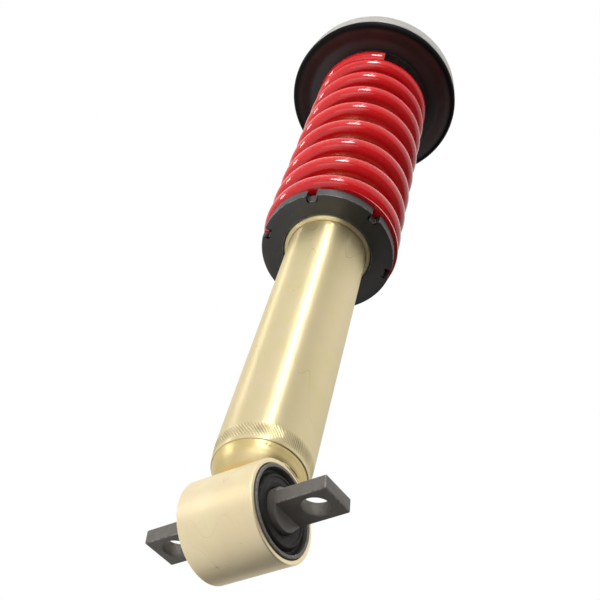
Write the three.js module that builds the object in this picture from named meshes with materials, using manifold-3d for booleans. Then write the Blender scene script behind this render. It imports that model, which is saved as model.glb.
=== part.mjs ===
import * as THREE from 'three';
import { mergeVertices } from 'three/addons/utils/BufferGeometryUtils.js';
import Module from 'manifold-3d';

const wasm = await Module();
wasm.setup();

// Truck coilover with a cross pin at its lower end. Units are mm, +Z runs up the damper axis,
// +X runs along the cross pin, and z = 0 is the lowest point of the lower eye.

// ---- Driving dimensions ----

const FIT = 0.3; // air between pieces that touch or slide

// Lower eye and its bush, both along X
const EYE_R = 24.9;
const EYE_BORE_R = 22.4;
const EYE_HALF = 20.8;
const PIN_Z = EYE_R; // height of the cross pin's axis
const SLEEVE_R = EYE_BORE_R - FIT;
const SLEEVE_BORE_R = 20.4;
const SLEEVE_HALF = EYE_HALF + 0.8;
const PIN_R = 10.7;
const PIN_ROUND_HALF = 22.4; // the pin is round as far as this, just outside its bush
const PIN_RUNOUT = 1.6; // length of the steep shoulder down to the flats
const PIN_HALF = 50.6;
const PIN_FLAT = 7.5; // thickness of a flattened end
const PIN_HOLE_X = 39;
const PIN_HOLE_R = 6.75; // clears an M12 bolt
const PIN_SET_DEG = 11; // the flats are bonded in at this angle to the damper

// Damper body
const TUBE_R = 25.4;
const TUBE_BORE_R = 23.4;
const TUBE_END_Z = 56; // the tube's crimped lower edge
const TUBE_END_R = 24.6;
const TUBE_TOP_Z = 390;
const CUP_R = 23.9; // the base cup, just under the tube's edge
const CUP_SHANK_R = 22.4; // the part of it inside the tube
const CUP_LOW_Z = 44;
const CUP_TOP_Z = 65;
const CYLINDER_R = 19;
const CYLINDER_BORE_R = 17.5;
const CYLINDER_Z = [72, 372];
const GUIDE_BOTTOM_Z = 366;
const GLAND_R = 27;
const GLAND_TOP_Z = 394;
const THREAD_R = 28.2; // crest of the threaded sleeve
const THREAD_Z = [261.5, 345];

// Rod group
const ROD_R = 7.95;
const ROD_STUD_R = 6;
const ROD_TOP_Z = 556;
const ROD_SHOULDER_Z = 512.3;
const PISTON_Z = [305, 320];
const PISTON_STUD_R = 5;
const PISTON_STUD_Z = 290;

// Perch and spring
const NUT_R = 43.2;
const NUT_Z = [262.6, 270.6];
const NUT_BORE_R = THREAD_R + FIT;
const NUT_HUB_R = 30.6; // pilots the washer and the spring
const NUT_HUB_TOP_Z = 283;
const NUT_RECESS_R = 37.8; // the washer lies in a recess inside the slots
const NUT_RECESS_DEPTH = 1.4;
const NUT_SLOTS = 6;
const NUT_SLOT_START_DEG = -13;
const NUT_SLOT_WIDTH = 6.4;
const NUT_SLOT_DEPTH = 4.2;
const GRUB_R = 2.2;
const GRUB_DEG = 137;
const WASHER_THICK = 1.5;
const WIRE_R = 7;
const SPRING_MEAN_R = 38.5;
const SPRING_Z = [271.3, 506.4]; // the two ground faces
const SPRING_TURNS = 9.02;
const SPRING_START_DEG = -54.3;
const SPRING_START_Z = 269.2; // centre of the wire at its lower tip
const SPRING_END_Z = 503.4; // centre of the wire at its upper tip
const SPRING_CLOSED_PITCH = 15.5; // pitch of the first and the last turn

// Upper end
const ISOLATOR_THICK = 2;
const SEAT_Z = SPRING_Z[1] + FIT + ISOLATOR_THICK + FIT; // underside of the upper seat
const SEAT_THICK = 3;
const SEAT_BEAD_R = 3.5; // radius of the curled rim
const SEAT_R = 68.1;
const SEAT_BORE_R = 21;
const MOUNT_R = 67.3;
const MOUNT_STEP_R = 66.4; // the upper part of the plate's wall is a little narrower
const MOUNT_WALL = 3;
const MOUNT_Z = [513.2, 528.3];
const MOUNT_STEP_Z = 519.5;
const MOUNT_BORE_R = 12;
const MOUNT_RECESS_R = 24; // the stem's rubber sits in a shallow recess
const MOUNT_RECESS_DEPTH = 0.8;
const STUD_R = 5;
const STUD_RING_R = 50;
const STUD_TOP_Z = 553;
const STUD_COUNT = 3;

const BIG = 40; // facets round a large piece
const INNER = 28; // facets round a piece inside the damper
const SMALL = 20; // facets round a small piece

// ---- Finishes ----

function finish(color, metalness, roughness) {
  return { color, metalness, roughness };
}

const FINISH = {
  zinc: finish(0xb8a873, 0.8, 0.35),
  black: finish(0x1c1b1a, 0.3, 0.5),
  red: finish(0xb5121b, 0.1, 0.25),
  phosphate: finish(0x4a4642, 0.6, 0.5),
  mountGrey: finish(0xa9a49a, 0.4, 0.4),
  rubber: finish(0x191817, 0, 0.8),
  chrome: finish(0xd9dadb, 1, 0.1),
  steel: finish(0x8d8f92, 0.9, 0.35),
  band: finish(0x6b4a2c, 0, 0.6),
  foam: finish(0xc9b458, 0, 0.9),
};

// ---- Geometry helpers ----

function signedVolume(positions, index) {
  const a = new THREE.Vector3();
  const b = new THREE.Vector3();
  const c = new THREE.Vector3();
  let sum = 0;
  for (let i = 0; i < index.length; i += 3) {
    a.fromArray(positions, 3 * index[i]);
    b.fromArray(positions, 3 * index[i + 1]);
    c.fromArray(positions, 3 * index[i + 2]);
    sum += a.dot(b.cross(c));
  }
  return sum / 6;
}

// Welds the vertices, drops the empty triangles at a lathe's axis and makes the faces look out.
function weld(geometry) {
  const bare = geometry.clone();
  bare.deleteAttribute('normal');
  bare.deleteAttribute('uv');
  const merged = mergeVertices(bare, 1e-4);
  const positions = merged.attributes.position.array;
  const old = merged.index.array;
  const index = [];
  for (let i = 0; i < old.length; i += 3) {
    const [a, b, c] = [old[i], old[i + 1], old[i + 2]];
    if (a !== b && b !== c && c !== a) index.push(a, b, c);
  }
  if (signedVolume(positions, index) < 0) index.reverse();
  merged.setIndex(index);
  return merged;
}

function toSolid(geometry) {
  const clean = weld(geometry);
  const mesh = new wasm.Mesh({
    numProp: 3,
    vertProperties: new Float32Array(clean.attributes.position.array),
    triVerts: new Uint32Array(clean.index.array),
  });
  mesh.merge();
  return new wasm.Manifold(mesh);
}

function toGeometry(solid) {
  const mesh = solid.getMesh();
  const geometry = new THREE.BufferGeometry();
  geometry.setAttribute('position', new THREE.BufferAttribute(mesh.vertProperties.slice(), 3));
  geometry.setIndex(new THREE.BufferAttribute(mesh.triVerts.slice(), 1));
  return geometry;
}

// Turns a list of [radius, z] round the Z axis. A list that doesn't start on the axis is a ring.
function turned(profile, facets = BIG) {
  const closed = profile[0][0] > 0;
  const points = closed ? [...profile, profile[0]] : profile;
  const vectors = points.map(([r, z]) => new THREE.Vector2(r, z));
  const geometry = new THREE.LatheGeometry(vectors, facets);
  geometry.rotateX(Math.PI / 2);
  return weld(geometry);
}

// The same, but along the X axis at the cross pin's height. The list holds [radius, x].
function turnedAcross(profile, facets = BIG) {
  const geometry = turned(profile, facets);
  geometry.rotateY(Math.PI / 2);
  geometry.translate(0, 0, PIN_Z);
  return geometry;
}

function tube(inner, outer, low, high, facets = BIG) {
  return turned([[inner, low], [outer, low], [outer, high], [inner, high]], facets);
}

function rod(radius, low, high, facets = SMALL) {
  return turned([[0, low], [radius, low], [radius, high], [0, high]], facets);
}

// A ring along X whose two ends are chamfered on the outside.
function barrel(inner, outer, half, chamfer) {
  return turnedAcross([
    [inner, -half],
    [outer - chamfer, -half],
    [outer, -half + chamfer],
    [outer, half - chamfer],
    [outer - chamfer, half],
    [inner, half],
  ]);
}

function hexNut(acrossFlats, bore, low, high) {
  const outline = new THREE.Shape();
  const corner = acrossFlats / Math.sqrt(3);
  for (let i = 0; i < 6; i += 1) {
    const angle = (i * Math.PI) / 3;
    outline.lineTo(corner * Math.cos(angle), corner * Math.sin(angle));
  }
  outline.curves.shift();
  outline.closePath();
  const hole = new THREE.Path();
  hole.absarc(0, 0, bore, 0, 2 * Math.PI, true);
  outline.holes.push(hole);
  const options = { depth: high - low, bevelEnabled: false, curveSegments: SMALL / 2 };
  const geometry = new THREE.ExtrudeGeometry(outline, options);
  geometry.translate(0, 0, low);
  return geometry;
}

function onRing(radius, degrees) {
  const angle = THREE.MathUtils.degToRad(degrees);
  return [radius * Math.cos(angle), radius * Math.sin(angle)];
}

const group = new THREE.Group();

function add(name, geometry, look) {
  const mesh = new THREE.Mesh(geometry, new THREE.MeshStandardMaterial(look));
  mesh.name = name;
  group.add(mesh);
  return mesh;
}

// ---- Lower eye, bush and cross pin ----

// Bonded rubber, with a groove and a ridge on each face.
function bushRubber() {
  const inner = PIN_R + FIT;
  const outer = SLEEVE_BORE_R - FIT;
  const face = [
    [inner, 19.6],
    [12.8, 20],
    [14, 18],
    [15.9, 19.6],
    [17.2, 17.8],
    [outer, 19.2],
  ];
  const otherFace = face.map(([r, x]) => [r, -x]).reverse();
  return turnedAcross([...face, ...otherFace]);
}

// Round in the bush, forged flat at both ends, with one bolt hole in each flat.
function crossPin() {
  const runout = PIN_ROUND_HALF + PIN_RUNOUT;
  const core = toSolid(turnedAcross([
    [0, -runout],
    [PIN_FLAT / 2, -runout],
    [PIN_R * 0.85, -PIN_ROUND_HALF - PIN_RUNOUT / 2],
    [PIN_R, -PIN_ROUND_HALF],
    [PIN_R, PIN_ROUND_HALF],
    [PIN_R * 0.85, PIN_ROUND_HALF + PIN_RUNOUT / 2],
    [PIN_FLAT / 2, runout],
    [0, runout],
  ]));
  let pin = core;
  for (const side of [-1, 1]) {
    const length = PIN_HALF - PIN_ROUND_HALF + 2;
    const flat = new THREE.BoxGeometry(length, 2 * PIN_R, PIN_FLAT);
    flat.translate(side * (PIN_HALF - length / 2), 0, PIN_Z);
    const hole = rod(PIN_HOLE_R, PIN_Z - 20, PIN_Z + 20);
    hole.translate(side * PIN_HOLE_X, 0, 0);
    pin = pin.add(toSolid(flat)).subtract(toSolid(hole));
  }
  const geometry = toGeometry(pin);
  geometry.translate(0, 0, -PIN_Z);
  return geometry;
}

add('lower_eye', barrel(EYE_BORE_R, EYE_R, EYE_HALF, 0.6), FINISH.zinc);
add('bushing_sleeve', barrel(SLEEVE_BORE_R, SLEEVE_R, SLEEVE_HALF, 0.6), FINISH.phosphate);
add('bushing_rubber', bushRubber(), FINISH.rubber);
const pin = add('cross_pin', crossPin(), FINISH.phosphate);
pin.position.z = PIN_Z;
pin.rotation.x = THREE.MathUtils.degToRad(PIN_SET_DEG);

// ---- Damper body ----

// The lower end is crimped in a little, over the base cup.
function bodyTube() {
  return turned([
    [TUBE_R, TUBE_TOP_Z],
    [TUBE_BORE_R, TUBE_TOP_Z],
    [TUBE_BORE_R, 66],
    [CUP_SHANK_R + FIT, 60],
    [CUP_SHANK_R + FIT, TUBE_END_Z],
    [TUBE_END_R - 0.6, TUBE_END_Z],
    [TUBE_END_R, TUBE_END_Z + 0.7],
    [25.1, 61.5],
    [TUBE_R, 66],
  ]);
}

// A convex cup that closes the tube's end, hollowed out below where it sits on the eye.
function baseCap() {
  const cup = toSolid(turned([
    [0, CUP_LOW_Z],
    [15, CUP_LOW_Z],
    [18.4, 45.8],
    [20.8, 48.3],
    [22.2, 50.6],
    [23, 52.7],
    [23.7, 54.6],
    [CUP_R, TUBE_END_Z - FIT],
    [CUP_SHANK_R, TUBE_END_Z - FIT],
    [CUP_SHANK_R, CUP_TOP_Z],
    [13, CUP_TOP_Z],
    [8, 58.4],
    [0, 57],
  ]));
  const eyeRoom = toSolid(turnedAcross([
    [0, -2 * CUP_R],
    [EYE_R + FIT, -2 * CUP_R],
    [EYE_R + FIT, 2 * CUP_R],
    [0, 2 * CUP_R],
  ]));
  return toGeometry(cup.subtract(eyeRoom));
}

function baseValve() {
  return turned([
    [0, 65.3],
    [21, 65.3],
    [21, 68],
    [CYLINDER_R, 71.7],
    [CYLINDER_BORE_R - FIT, 71.7],
    [CYLINDER_BORE_R - FIT, 80],
    [9, 80],
    [9, 83],
    [0, 83],
  ], INNER);
}

function rodGuide() {
  const bore = ROD_R + FIT;
  return turned([
    [bore, GUIDE_BOTTOM_Z],
    [CYLINDER_BORE_R - FIT, GUIDE_BOTTOM_Z],
    [CYLINDER_BORE_R - FIT, CYLINDER_Z[1] + FIT],
    [TUBE_BORE_R - FIT, CYLINDER_Z[1] + 2],
    [TUBE_BORE_R - FIT, 383],
    [bore, 383],
  ], INNER);
}

function rodSeal() {
  const bore = ROD_R + FIT;
  return turned([
    [bore, 383.3],
    [TUBE_BORE_R - FIT, 383.3],
    [TUBE_BORE_R - FIT, TUBE_TOP_Z],
    [12.5, TUBE_TOP_Z],
    [10.5, 387.5],
    [bore, 389.4],
  ], INNER);
}

// Pressed over the tube's upper end.
function glandCap() {
  return turned([
    [9, TUBE_TOP_Z + FIT],
    [TUBE_R + FIT, TUBE_TOP_Z + FIT],
    [TUBE_R + FIT, 378],
    [GLAND_R, 378],
    [GLAND_R, GLAND_TOP_Z - 1.5],
    [GLAND_R - 1.5, GLAND_TOP_Z],
    [9, GLAND_TOP_Z],
  ]);
}

function threadedSleeve() {
  const chamfer = 0.9;
  const [low, high] = THREAD_Z;
  return turned([
    [TUBE_R + FIT, low],
    [THREAD_R - chamfer, low],
    [THREAD_R, low + chamfer],
    [THREAD_R, high - chamfer],
    [THREAD_R - chamfer, high],
    [TUBE_R + FIT, high],
  ]);
}

add('body_tube', bodyTube(), FINISH.zinc);
add('base_cap', baseCap(), FINISH.zinc);
add('base_valve', baseValve(), FINISH.steel);
add('pressure_tube', tube(CYLINDER_BORE_R, CYLINDER_R, ...CYLINDER_Z, INNER), FINISH.steel);
add('rod_guide', rodGuide(), FINISH.steel);
add('rod_seal', rodSeal(), FINISH.rubber);
add('gland_cap', glandCap(), FINISH.zinc);
add('threaded_sleeve', threadedSleeve(), FINISH.zinc);

// ---- Rod group ----

function pistonRod() {
  return turned([
    [0, PISTON_STUD_Z],
    [PISTON_STUD_R, PISTON_STUD_Z],
    [PISTON_STUD_R, PISTON_Z[1] + FIT],
    [ROD_R, PISTON_Z[1] + FIT],
    [ROD_R, ROD_SHOULDER_Z],
    [ROD_STUD_R, ROD_SHOULDER_Z],
    [ROD_STUD_R, ROD_TOP_Z - 1],
    [ROD_STUD_R - 1, ROD_TOP_Z],
    [0, ROD_TOP_Z],
  ], SMALL);
}

const BAND_DEPTH = 1.3;
const BAND_MARGIN = 3; // height of the piston's land at each side of its band

function piston() {
  const [low, high] = PISTON_Z;
  const outer = CYLINDER_BORE_R - FIT - 0.2;
  const groove = outer - BAND_DEPTH;
  const bore = PISTON_STUD_R + FIT;
  return turned([
    [bore, low],
    [outer, low],
    [outer, low + BAND_MARGIN],
    [groove, low + BAND_MARGIN],
    [groove, high - BAND_MARGIN],
    [outer, high - BAND_MARGIN],
    [outer, high],
    [bore, high],
  ], INNER);
}

function pistonBand() {
  const [low, high] = PISTON_Z;
  const outer = CYLINDER_BORE_R - FIT;
  const inner = outer - 0.2 - BAND_DEPTH + FIT;
  return tube(inner, outer, low + BAND_MARGIN + FIT, high - BAND_MARGIN - FIT, INNER);
}

const stopLow = PISTON_Z[1] + 2 * FIT;
add('piston_rod', pistonRod(), FINISH.chrome);
add('piston', piston(), FINISH.steel);
add('piston_band', pistonBand(), FINISH.band);
add('piston_nut', hexNut(17, PISTON_STUD_R + FIT, 293, PISTON_Z[0] - FIT), FINISH.steel);
add('rebound_stop', tube(ROD_R + FIT, 13, stopLow, stopLow + 9, SMALL), FINISH.rubber);

// ---- Perch and spring ----

function perchNut() {
  const [low, high] = NUT_Z;
  const chamfer = 0.5;
  let nut = toSolid(turned([
    [NUT_BORE_R + chamfer, low],
    [NUT_R - chamfer, low],
    [NUT_R, low + chamfer],
    [NUT_R, high],
    [NUT_RECESS_R, high],
    [NUT_RECESS_R, high - NUT_RECESS_DEPTH],
    [NUT_HUB_R, high - NUT_RECESS_DEPTH],
    [NUT_HUB_R, NUT_HUB_TOP_Z - 1],
    [NUT_HUB_R - 1, NUT_HUB_TOP_Z],
    [NUT_BORE_R, NUT_HUB_TOP_Z],
    [NUT_BORE_R, low + chamfer],
  ]));
  for (let i = 0; i < NUT_SLOTS; i += 1) {
    const slot = new THREE.BoxGeometry(2 * NUT_SLOT_DEPTH, NUT_SLOT_WIDTH, 2 * (high - low));
    slot.translate(NUT_R, 0, low);
    const step = (NUT_SLOT_START_DEG + (i * 360) / NUT_SLOTS);
    slot.rotateZ(THREE.MathUtils.degToRad(step));
    nut = nut.subtract(toSolid(slot));
  }
  return toGeometry(nut.subtract(toSolid(grub(GRUB_R + FIT, NUT_BORE_R - 2, NUT_R + 2))));
}

// The grub screw lies along a radius of the nut's rim.
function grub(radius, from, to) {
  const screw = rod(radius, from, to, 16);
  screw.rotateY(Math.PI / 2);
  screw.translate(0, 0, (NUT_Z[0] + NUT_Z[1]) / 2);
  screw.rotateZ(THREE.MathUtils.degToRad(GRUB_DEG));
  return screw;
}

class SpringLine extends THREE.Curve {
  // The height of the wire's centre after t turns: close-wound at both ends, open between.
  height(t) {
    const open = SPRING_TURNS - 2;
    const rise = SPRING_END_Z - SPRING_START_Z - 2 * SPRING_CLOSED_PITCH;
    const middle = THREE.MathUtils.clamp(t - 1, 0, open);
    const soft = Math.sin((2 * Math.PI * middle) / open) / (2 * Math.PI * open);
    const eased = middle / open - 0.5 * soft;
    return SPRING_START_Z + SPRING_CLOSED_PITCH * (t - middle) + rise * eased;
  }

  getPoint(share, target = new THREE.Vector3()) {
    const t = share * SPRING_TURNS;
    const angle = THREE.MathUtils.degToRad(SPRING_START_DEG) + 2 * Math.PI * t;
    const x = SPRING_MEAN_R * Math.cos(angle);
    const y = SPRING_MEAN_R * Math.sin(angle);
    return target.set(x, y, this.height(t));
  }
}

// Round wire along the helix, then both ends ground flat.
function coilSpring() {
  const section = new THREE.Shape();
  section.absarc(0, 0, WIRE_R, 0, 2 * Math.PI, false);
  const options = {
    steps: Math.round(22 * SPRING_TURNS),
    curveSegments: 5,
    bevelEnabled: false,
    extrudePath: new SpringLine(),
  };
  const wire = toSolid(new THREE.ExtrudeGeometry(section, options));
  const room = toSolid(rod(60, SPRING_Z[0], SPRING_Z[1], SMALL));
  return toGeometry(wire.intersect(room));
}

const washerLow = NUT_Z[1] - NUT_RECESS_DEPTH + FIT;
const washerIn = NUT_HUB_R + FIT;
const washerOut = NUT_RECESS_R - FIT;
add('perch_nut', perchNut(), FINISH.black);
add('lock_screw', grub(GRUB_R, NUT_BORE_R + 0.8, NUT_R - 1), FINISH.steel);
add('perch_seat', tube(washerIn, washerOut, washerLow, washerLow + WASHER_THICK), FINISH.black);
add('coil_spring', coilSpring(), FINISH.red);

// ---- Upper end ----

// A flat dish whose rim dips a little and ends in a thick rounded edge.
function upperSeat() {
  const top = SEAT_Z + SEAT_THICK;
  const beadX = SEAT_R - SEAT_BEAD_R;
  const beadZ = SEAT_Z + 0.3;
  const bead = [];
  for (let degrees = 250; degrees <= 450; degrees += 25) {
    const [r, z] = onRing(SEAT_BEAD_R, degrees);
    bead.push([beadX + r, beadZ + z]);
  }
  return turned([
    [SEAT_BORE_R, SEAT_Z],
    [54, SEAT_Z],
    [57, SEAT_Z - 0.4],
    [60.5, SEAT_Z - 2],
    ...bead,
    [58.5, top],
    [SEAT_BORE_R, top],
  ]);
}

function bumpStop() {
  const bore = ROD_R + 1;
  return turned([
    [bore, 469],
    [11.5, 469],
    [13.5, 471.5],
    [13.5, 481],
    [11.5, 483.5],
    [13.5, 486],
    [16.8, 490],
    [16.8, 505],
    [bore, 505],
  ], SMALL);
}

function bumpCup() {
  return turned([
    [ROD_R + 1, 505.3],
    [17.1, 505.3],
    [17.1, 493],
    [18.6, 493],
    [18.6, 504],
    [20.6, 506.6],
    [20.6, 511.8],
    [ROD_R + 1, 511.8],
  ], INNER);
}

// A pale cup that covers the mount, with three holes for its studs.
function mountPlate() {
  const [low, high] = MOUNT_Z;
  let plate = toSolid(turned([
    [MOUNT_BORE_R, high - MOUNT_WALL],
    [MOUNT_STEP_R - MOUNT_WALL, high - MOUNT_WALL],
    [MOUNT_STEP_R - MOUNT_WALL, low],
    [MOUNT_R, low],
    [MOUNT_R, MOUNT_STEP_Z],
    [MOUNT_STEP_R, MOUNT_STEP_Z + 0.9],
    [MOUNT_STEP_R, high - 1.5],
    [MOUNT_STEP_R - 1.5, high],
    [MOUNT_RECESS_R, high],
    [MOUNT_RECESS_R, high - MOUNT_RECESS_DEPTH],
    [MOUNT_BORE_R, high - MOUNT_RECESS_DEPTH],
  ]));
  for (const [x, y] of studPlaces()) {
    const hole = rod(STUD_R + FIT, high - 2 * MOUNT_WALL, high + MOUNT_WALL);
    hole.translate(x, y, 0);
    plate = plate.subtract(toSolid(hole));
  }
  return toGeometry(plate);
}

function studPlaces() {
  const places = [];
  for (let i = 0; i < STUD_COUNT; i += 1) {
    places.push(onRing(STUD_RING_R, 90 + (i * 360) / STUD_COUNT));
  }
  return places;
}

// A serrated head under the plate would hold it; the shank stands up through its hole.
function mountStud() {
  const under = MOUNT_Z[1] - MOUNT_WALL - FIT;
  return turned([
    [0, under - 3.4],
    [8, under - 3.4],
    [8, under],
    [STUD_R, under],
    [STUD_R, STUD_TOP_Z - 1],
    [STUD_R - 1, STUD_TOP_Z],
    [0, STUD_TOP_Z],
  ], SMALL);
}

// Rubber that fills the cup under the plate, lower at its rim to clear the studs' heads.
function mountRubber() {
  const low = seatTop + 3.3;
  const top = plateUnder - FIT;
  const shelf = plateUnder - 4;
  return turned([
    [24, low],
    [62.8, low],
    [62.8, shelf],
    [40, shelf],
    [40, top],
    [24, top],
  ]);
}

const isolatorLow = SPRING_Z[1] + FIT;
const seatTop = SEAT_Z + SEAT_THICK;
const plateUnder = MOUNT_Z[1] - MOUNT_WALL;
const recessFloor = MOUNT_Z[1] - MOUNT_RECESS_DEPTH;
const stemR = ROD_STUD_R + FIT;
const grommetR = 19.7;
const lowWasher = ROD_SHOULDER_Z + FIT;
const lowGrommet = lowWasher + 2.5 + FIT;
const highGrommet = recessFloor + FIT;
const highWasher = highGrommet + 10.2 + FIT;
const nutLow = highWasher + 2.5 + FIT;
const spacer = [lowGrommet, highWasher - FIT];

add('spring_isolator', tube(31.5, 45, isolatorLow, isolatorLow + ISOLATOR_THICK), FINISH.rubber);
add('upper_seat', upperSeat(), FINISH.black);
add('bump_stop', bumpStop(), FINISH.foam);
add('bump_cup', bumpCup(), FINISH.steel);
add('bearing_ring', tube(24, 57, seatTop + FIT, seatTop + 3), FINISH.band);
add('mount_rubber', mountRubber(), FINISH.rubber);
add('mount_plate', mountPlate(), FINISH.mountGrey);
add('mount_washer_lower', tube(stemR, grommetR, lowWasher, lowWasher + 2.5, SMALL), FINISH.steel);
add('stem_rubber_lower', tube(9.7, grommetR, lowGrommet, plateUnder - FIT, SMALL), FINISH.rubber);
add('stem_rubber_upper', tube(9.7, grommetR, highGrommet, highWasher - FIT, SMALL), FINISH.rubber);
add('mount_washer_upper', tube(stemR, grommetR, highWasher, highWasher + 2.5, SMALL), FINISH.steel);
add('mount_spacer', tube(stemR, 9.4, ...spacer, SMALL), FINISH.steel);
add('rod_nut', hexNut(18, stemR, nutLow, nutLow + 10), FINISH.steel);
studPlaces().forEach(([x, y], i) => {
  const stud = add(`mount_stud_${i + 1}`, mountStud(), FINISH.steel);
  stud.position.set(x, y, 0);
});

export default group;
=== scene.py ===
# %% [markdown]
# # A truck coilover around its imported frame
#
# A coilover is an oil damper with a coil spring round it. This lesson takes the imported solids,
# which are plain and faceted, and puts a finely shaped piece with a real finish in the place of
# each one that can be seen. The solids hidden in the damper stay, and only get a finish.
#
# Everything is in metres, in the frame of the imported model: +Z runs up the damper, and +X runs
# along the pin through the lower eye.

from math import asin, atan2, ceil, copysign, cos, exp, pi, radians, sin, sqrt, tan

import bmesh
import bpy
from mathutils import Matrix, Vector


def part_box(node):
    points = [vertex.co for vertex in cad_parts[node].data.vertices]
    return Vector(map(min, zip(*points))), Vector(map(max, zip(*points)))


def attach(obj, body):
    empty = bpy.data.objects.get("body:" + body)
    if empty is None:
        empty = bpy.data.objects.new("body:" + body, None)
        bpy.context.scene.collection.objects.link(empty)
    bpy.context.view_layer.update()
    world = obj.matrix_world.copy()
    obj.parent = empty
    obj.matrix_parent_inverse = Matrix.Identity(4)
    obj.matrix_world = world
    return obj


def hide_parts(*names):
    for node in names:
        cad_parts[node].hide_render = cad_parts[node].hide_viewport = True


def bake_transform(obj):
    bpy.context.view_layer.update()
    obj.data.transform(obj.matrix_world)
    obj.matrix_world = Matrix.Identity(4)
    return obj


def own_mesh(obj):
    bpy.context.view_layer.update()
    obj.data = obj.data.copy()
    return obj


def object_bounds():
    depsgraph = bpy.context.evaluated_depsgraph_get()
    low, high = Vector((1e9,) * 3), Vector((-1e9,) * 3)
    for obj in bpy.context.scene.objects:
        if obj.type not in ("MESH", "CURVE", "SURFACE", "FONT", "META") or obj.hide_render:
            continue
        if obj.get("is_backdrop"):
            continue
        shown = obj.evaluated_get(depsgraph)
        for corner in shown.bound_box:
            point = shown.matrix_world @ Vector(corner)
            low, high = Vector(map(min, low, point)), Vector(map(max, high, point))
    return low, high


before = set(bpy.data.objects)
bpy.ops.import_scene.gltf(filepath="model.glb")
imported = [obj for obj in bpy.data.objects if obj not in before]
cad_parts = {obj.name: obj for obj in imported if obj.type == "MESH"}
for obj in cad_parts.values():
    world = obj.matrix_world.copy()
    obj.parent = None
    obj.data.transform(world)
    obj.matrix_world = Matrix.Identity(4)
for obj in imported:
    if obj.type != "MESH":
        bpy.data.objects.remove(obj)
cad_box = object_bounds()
MM = 0.001
AIR = 0.3 * MM  # between pieces that touch in the real part
print("nodes:", len(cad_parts))

# %% [markdown]
# ## Sizes from the frame
#
# A turned part is known by its radius and its two ends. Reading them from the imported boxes,
# instead of typing them again, keeps every piece in its place when the frame changes.

# %% Read radii and heights
def radius_of(node):
    low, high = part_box(node)
    return (high.y - low.y) / 2


def ends_of(node):
    low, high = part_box(node)
    return low.z, high.z


PIN_Z = sum(ends_of("lower_eye")) / 2
EYE_R = radius_of("lower_eye")
EYE_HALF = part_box("lower_eye")[1].x
TUBE_R = radius_of("body_tube")
TUBE_LOW, TUBE_HIGH = ends_of("body_tube")
NUT_R = radius_of("perch_nut")
NUT_LOW, NUT_HIGH = ends_of("perch_nut")
SPRING_LOW, SPRING_HIGH = ends_of("coil_spring")
SEAT_R = radius_of("upper_seat")
SEAT_LOW = ends_of("upper_seat")[0]
MOUNT_R = radius_of("mount_plate")
MOUNT_LOW, MOUNT_HIGH = ends_of("mount_plate")
print("tube radius %.1f mm, seat radius %.1f mm" % (TUBE_R / MM, SEAT_R / MM))

# %% [markdown]
# ## The camera
#
# The coilover is seen from below, close to its lower eye, so the eye looks big and the upper
# mount is far away. A camera in Blender looks along its own -Z axis. Its matrix is built here
# from the three directions that a photographer would name: right, up and forward.

# %% Place the camera
CAMERA_PLACE = Vector((0.25789, -0.25973, -0.30081))
CAMERA_AIM = Vector((-0.00508, -0.00525, 0.20492))
CAMERA_ROLL = radians(-17.869)
LENS = 62.07


def aim_matrix(place, target, roll=0.0):
    forward = (target - place).normalized()
    side = forward.cross(Vector((0, 0, 1))).normalized()
    top = side.cross(forward)
    up = cos(roll) * top + sin(roll) * side
    right = forward.cross(up)
    rotation = Matrix((right, up, -forward)).transposed()
    return Matrix.Translation(place) @ rotation.to_4x4()


camera_data = bpy.data.cameras.new("camera")
camera_data.lens = LENS
camera_data.sensor_width = 36
camera_data.clip_start = 0.01
camera = bpy.data.objects.new("camera", camera_data)
bpy.context.scene.collection.objects.link(camera)
camera.matrix_world = aim_matrix(CAMERA_PLACE, CAMERA_AIM, CAMERA_ROLL)
bpy.context.scene.camera = camera
print("camera is %.3f m from its aim" % (CAMERA_AIM - CAMERA_PLACE).length)

# %% [markdown]
# ## Light
#
# A metal part shows its surroundings more than its own colour, so the light is half of the
# finish. A studio hangs white cloths round the part and stands a few soft boxes in front of it.
# Here the world is the cloth: a little brighter on some sides than on others, while the camera
# itself sees it as plain white. The area lights are the soft boxes, one of them tall and narrow.

# %% Helpers for shader nodes
def add_node(tree, kind, inputs=None, **settings):
    """A shader node with its settings and inputs. An input is a number, a colour or a socket."""
    node = tree.nodes.new(kind)
    for key, value in settings.items():
        setattr(node, key, value)
    for key, value in (inputs or {}).items():
        if isinstance(value, bpy.types.NodeSocket):
            tree.links.new(value, node.inputs[key])
        else:
            node.inputs[key].default_value = value
    return node


def add_ramp(tree, value, stops):
    """A ramp of grey levels. Each stop is a place from 0 to 1 and its level."""
    ramp = add_node(tree, "ShaderNodeValToRGB", {"Fac": value})
    elements = ramp.color_ramp.elements
    while len(elements) < len(stops):
        elements.new(0.5)
    for element, (place, level) in zip(elements, stops):
        element.position = place
        element.color = (level, level, level, 1)
    return ramp.outputs["Color"]


def maths(tree, operation, a, b=0.0, clamp=False):
    node = add_node(tree, "ShaderNodeMath", {0: a, 1: b}, operation=operation, use_clamp=clamp)
    return node.outputs[0]


def mix_colors(tree, amount, first, second, blend="MIX"):
    node = add_node(tree, "ShaderNodeMix", data_type="RGBA", blend_type=blend)
    for index, value in ((0, amount), (6, first), (7, second)):
        if isinstance(value, bpy.types.NodeSocket):
            tree.links.new(value, node.inputs[index])
        else:
            node.inputs[index].default_value = value
    return node.outputs[2]


# %% Make the world
# Brightness of the cloth round the part by compass direction: 0 and 1 are -X, 0.5 is +X.
CLOTH = ((0.0, 0.95), (0.20, 0.98), (0.34, 0.95), (0.39, 0.80), (0.45, 0.82), (0.50, 0.90),
         (0.60, 1.02), (0.72, 0.90), (0.84, 0.74), (1.0, 0.95))
CLOTH_FOOT, CLOTH_HEAD = 0.55, 1.10


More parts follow.
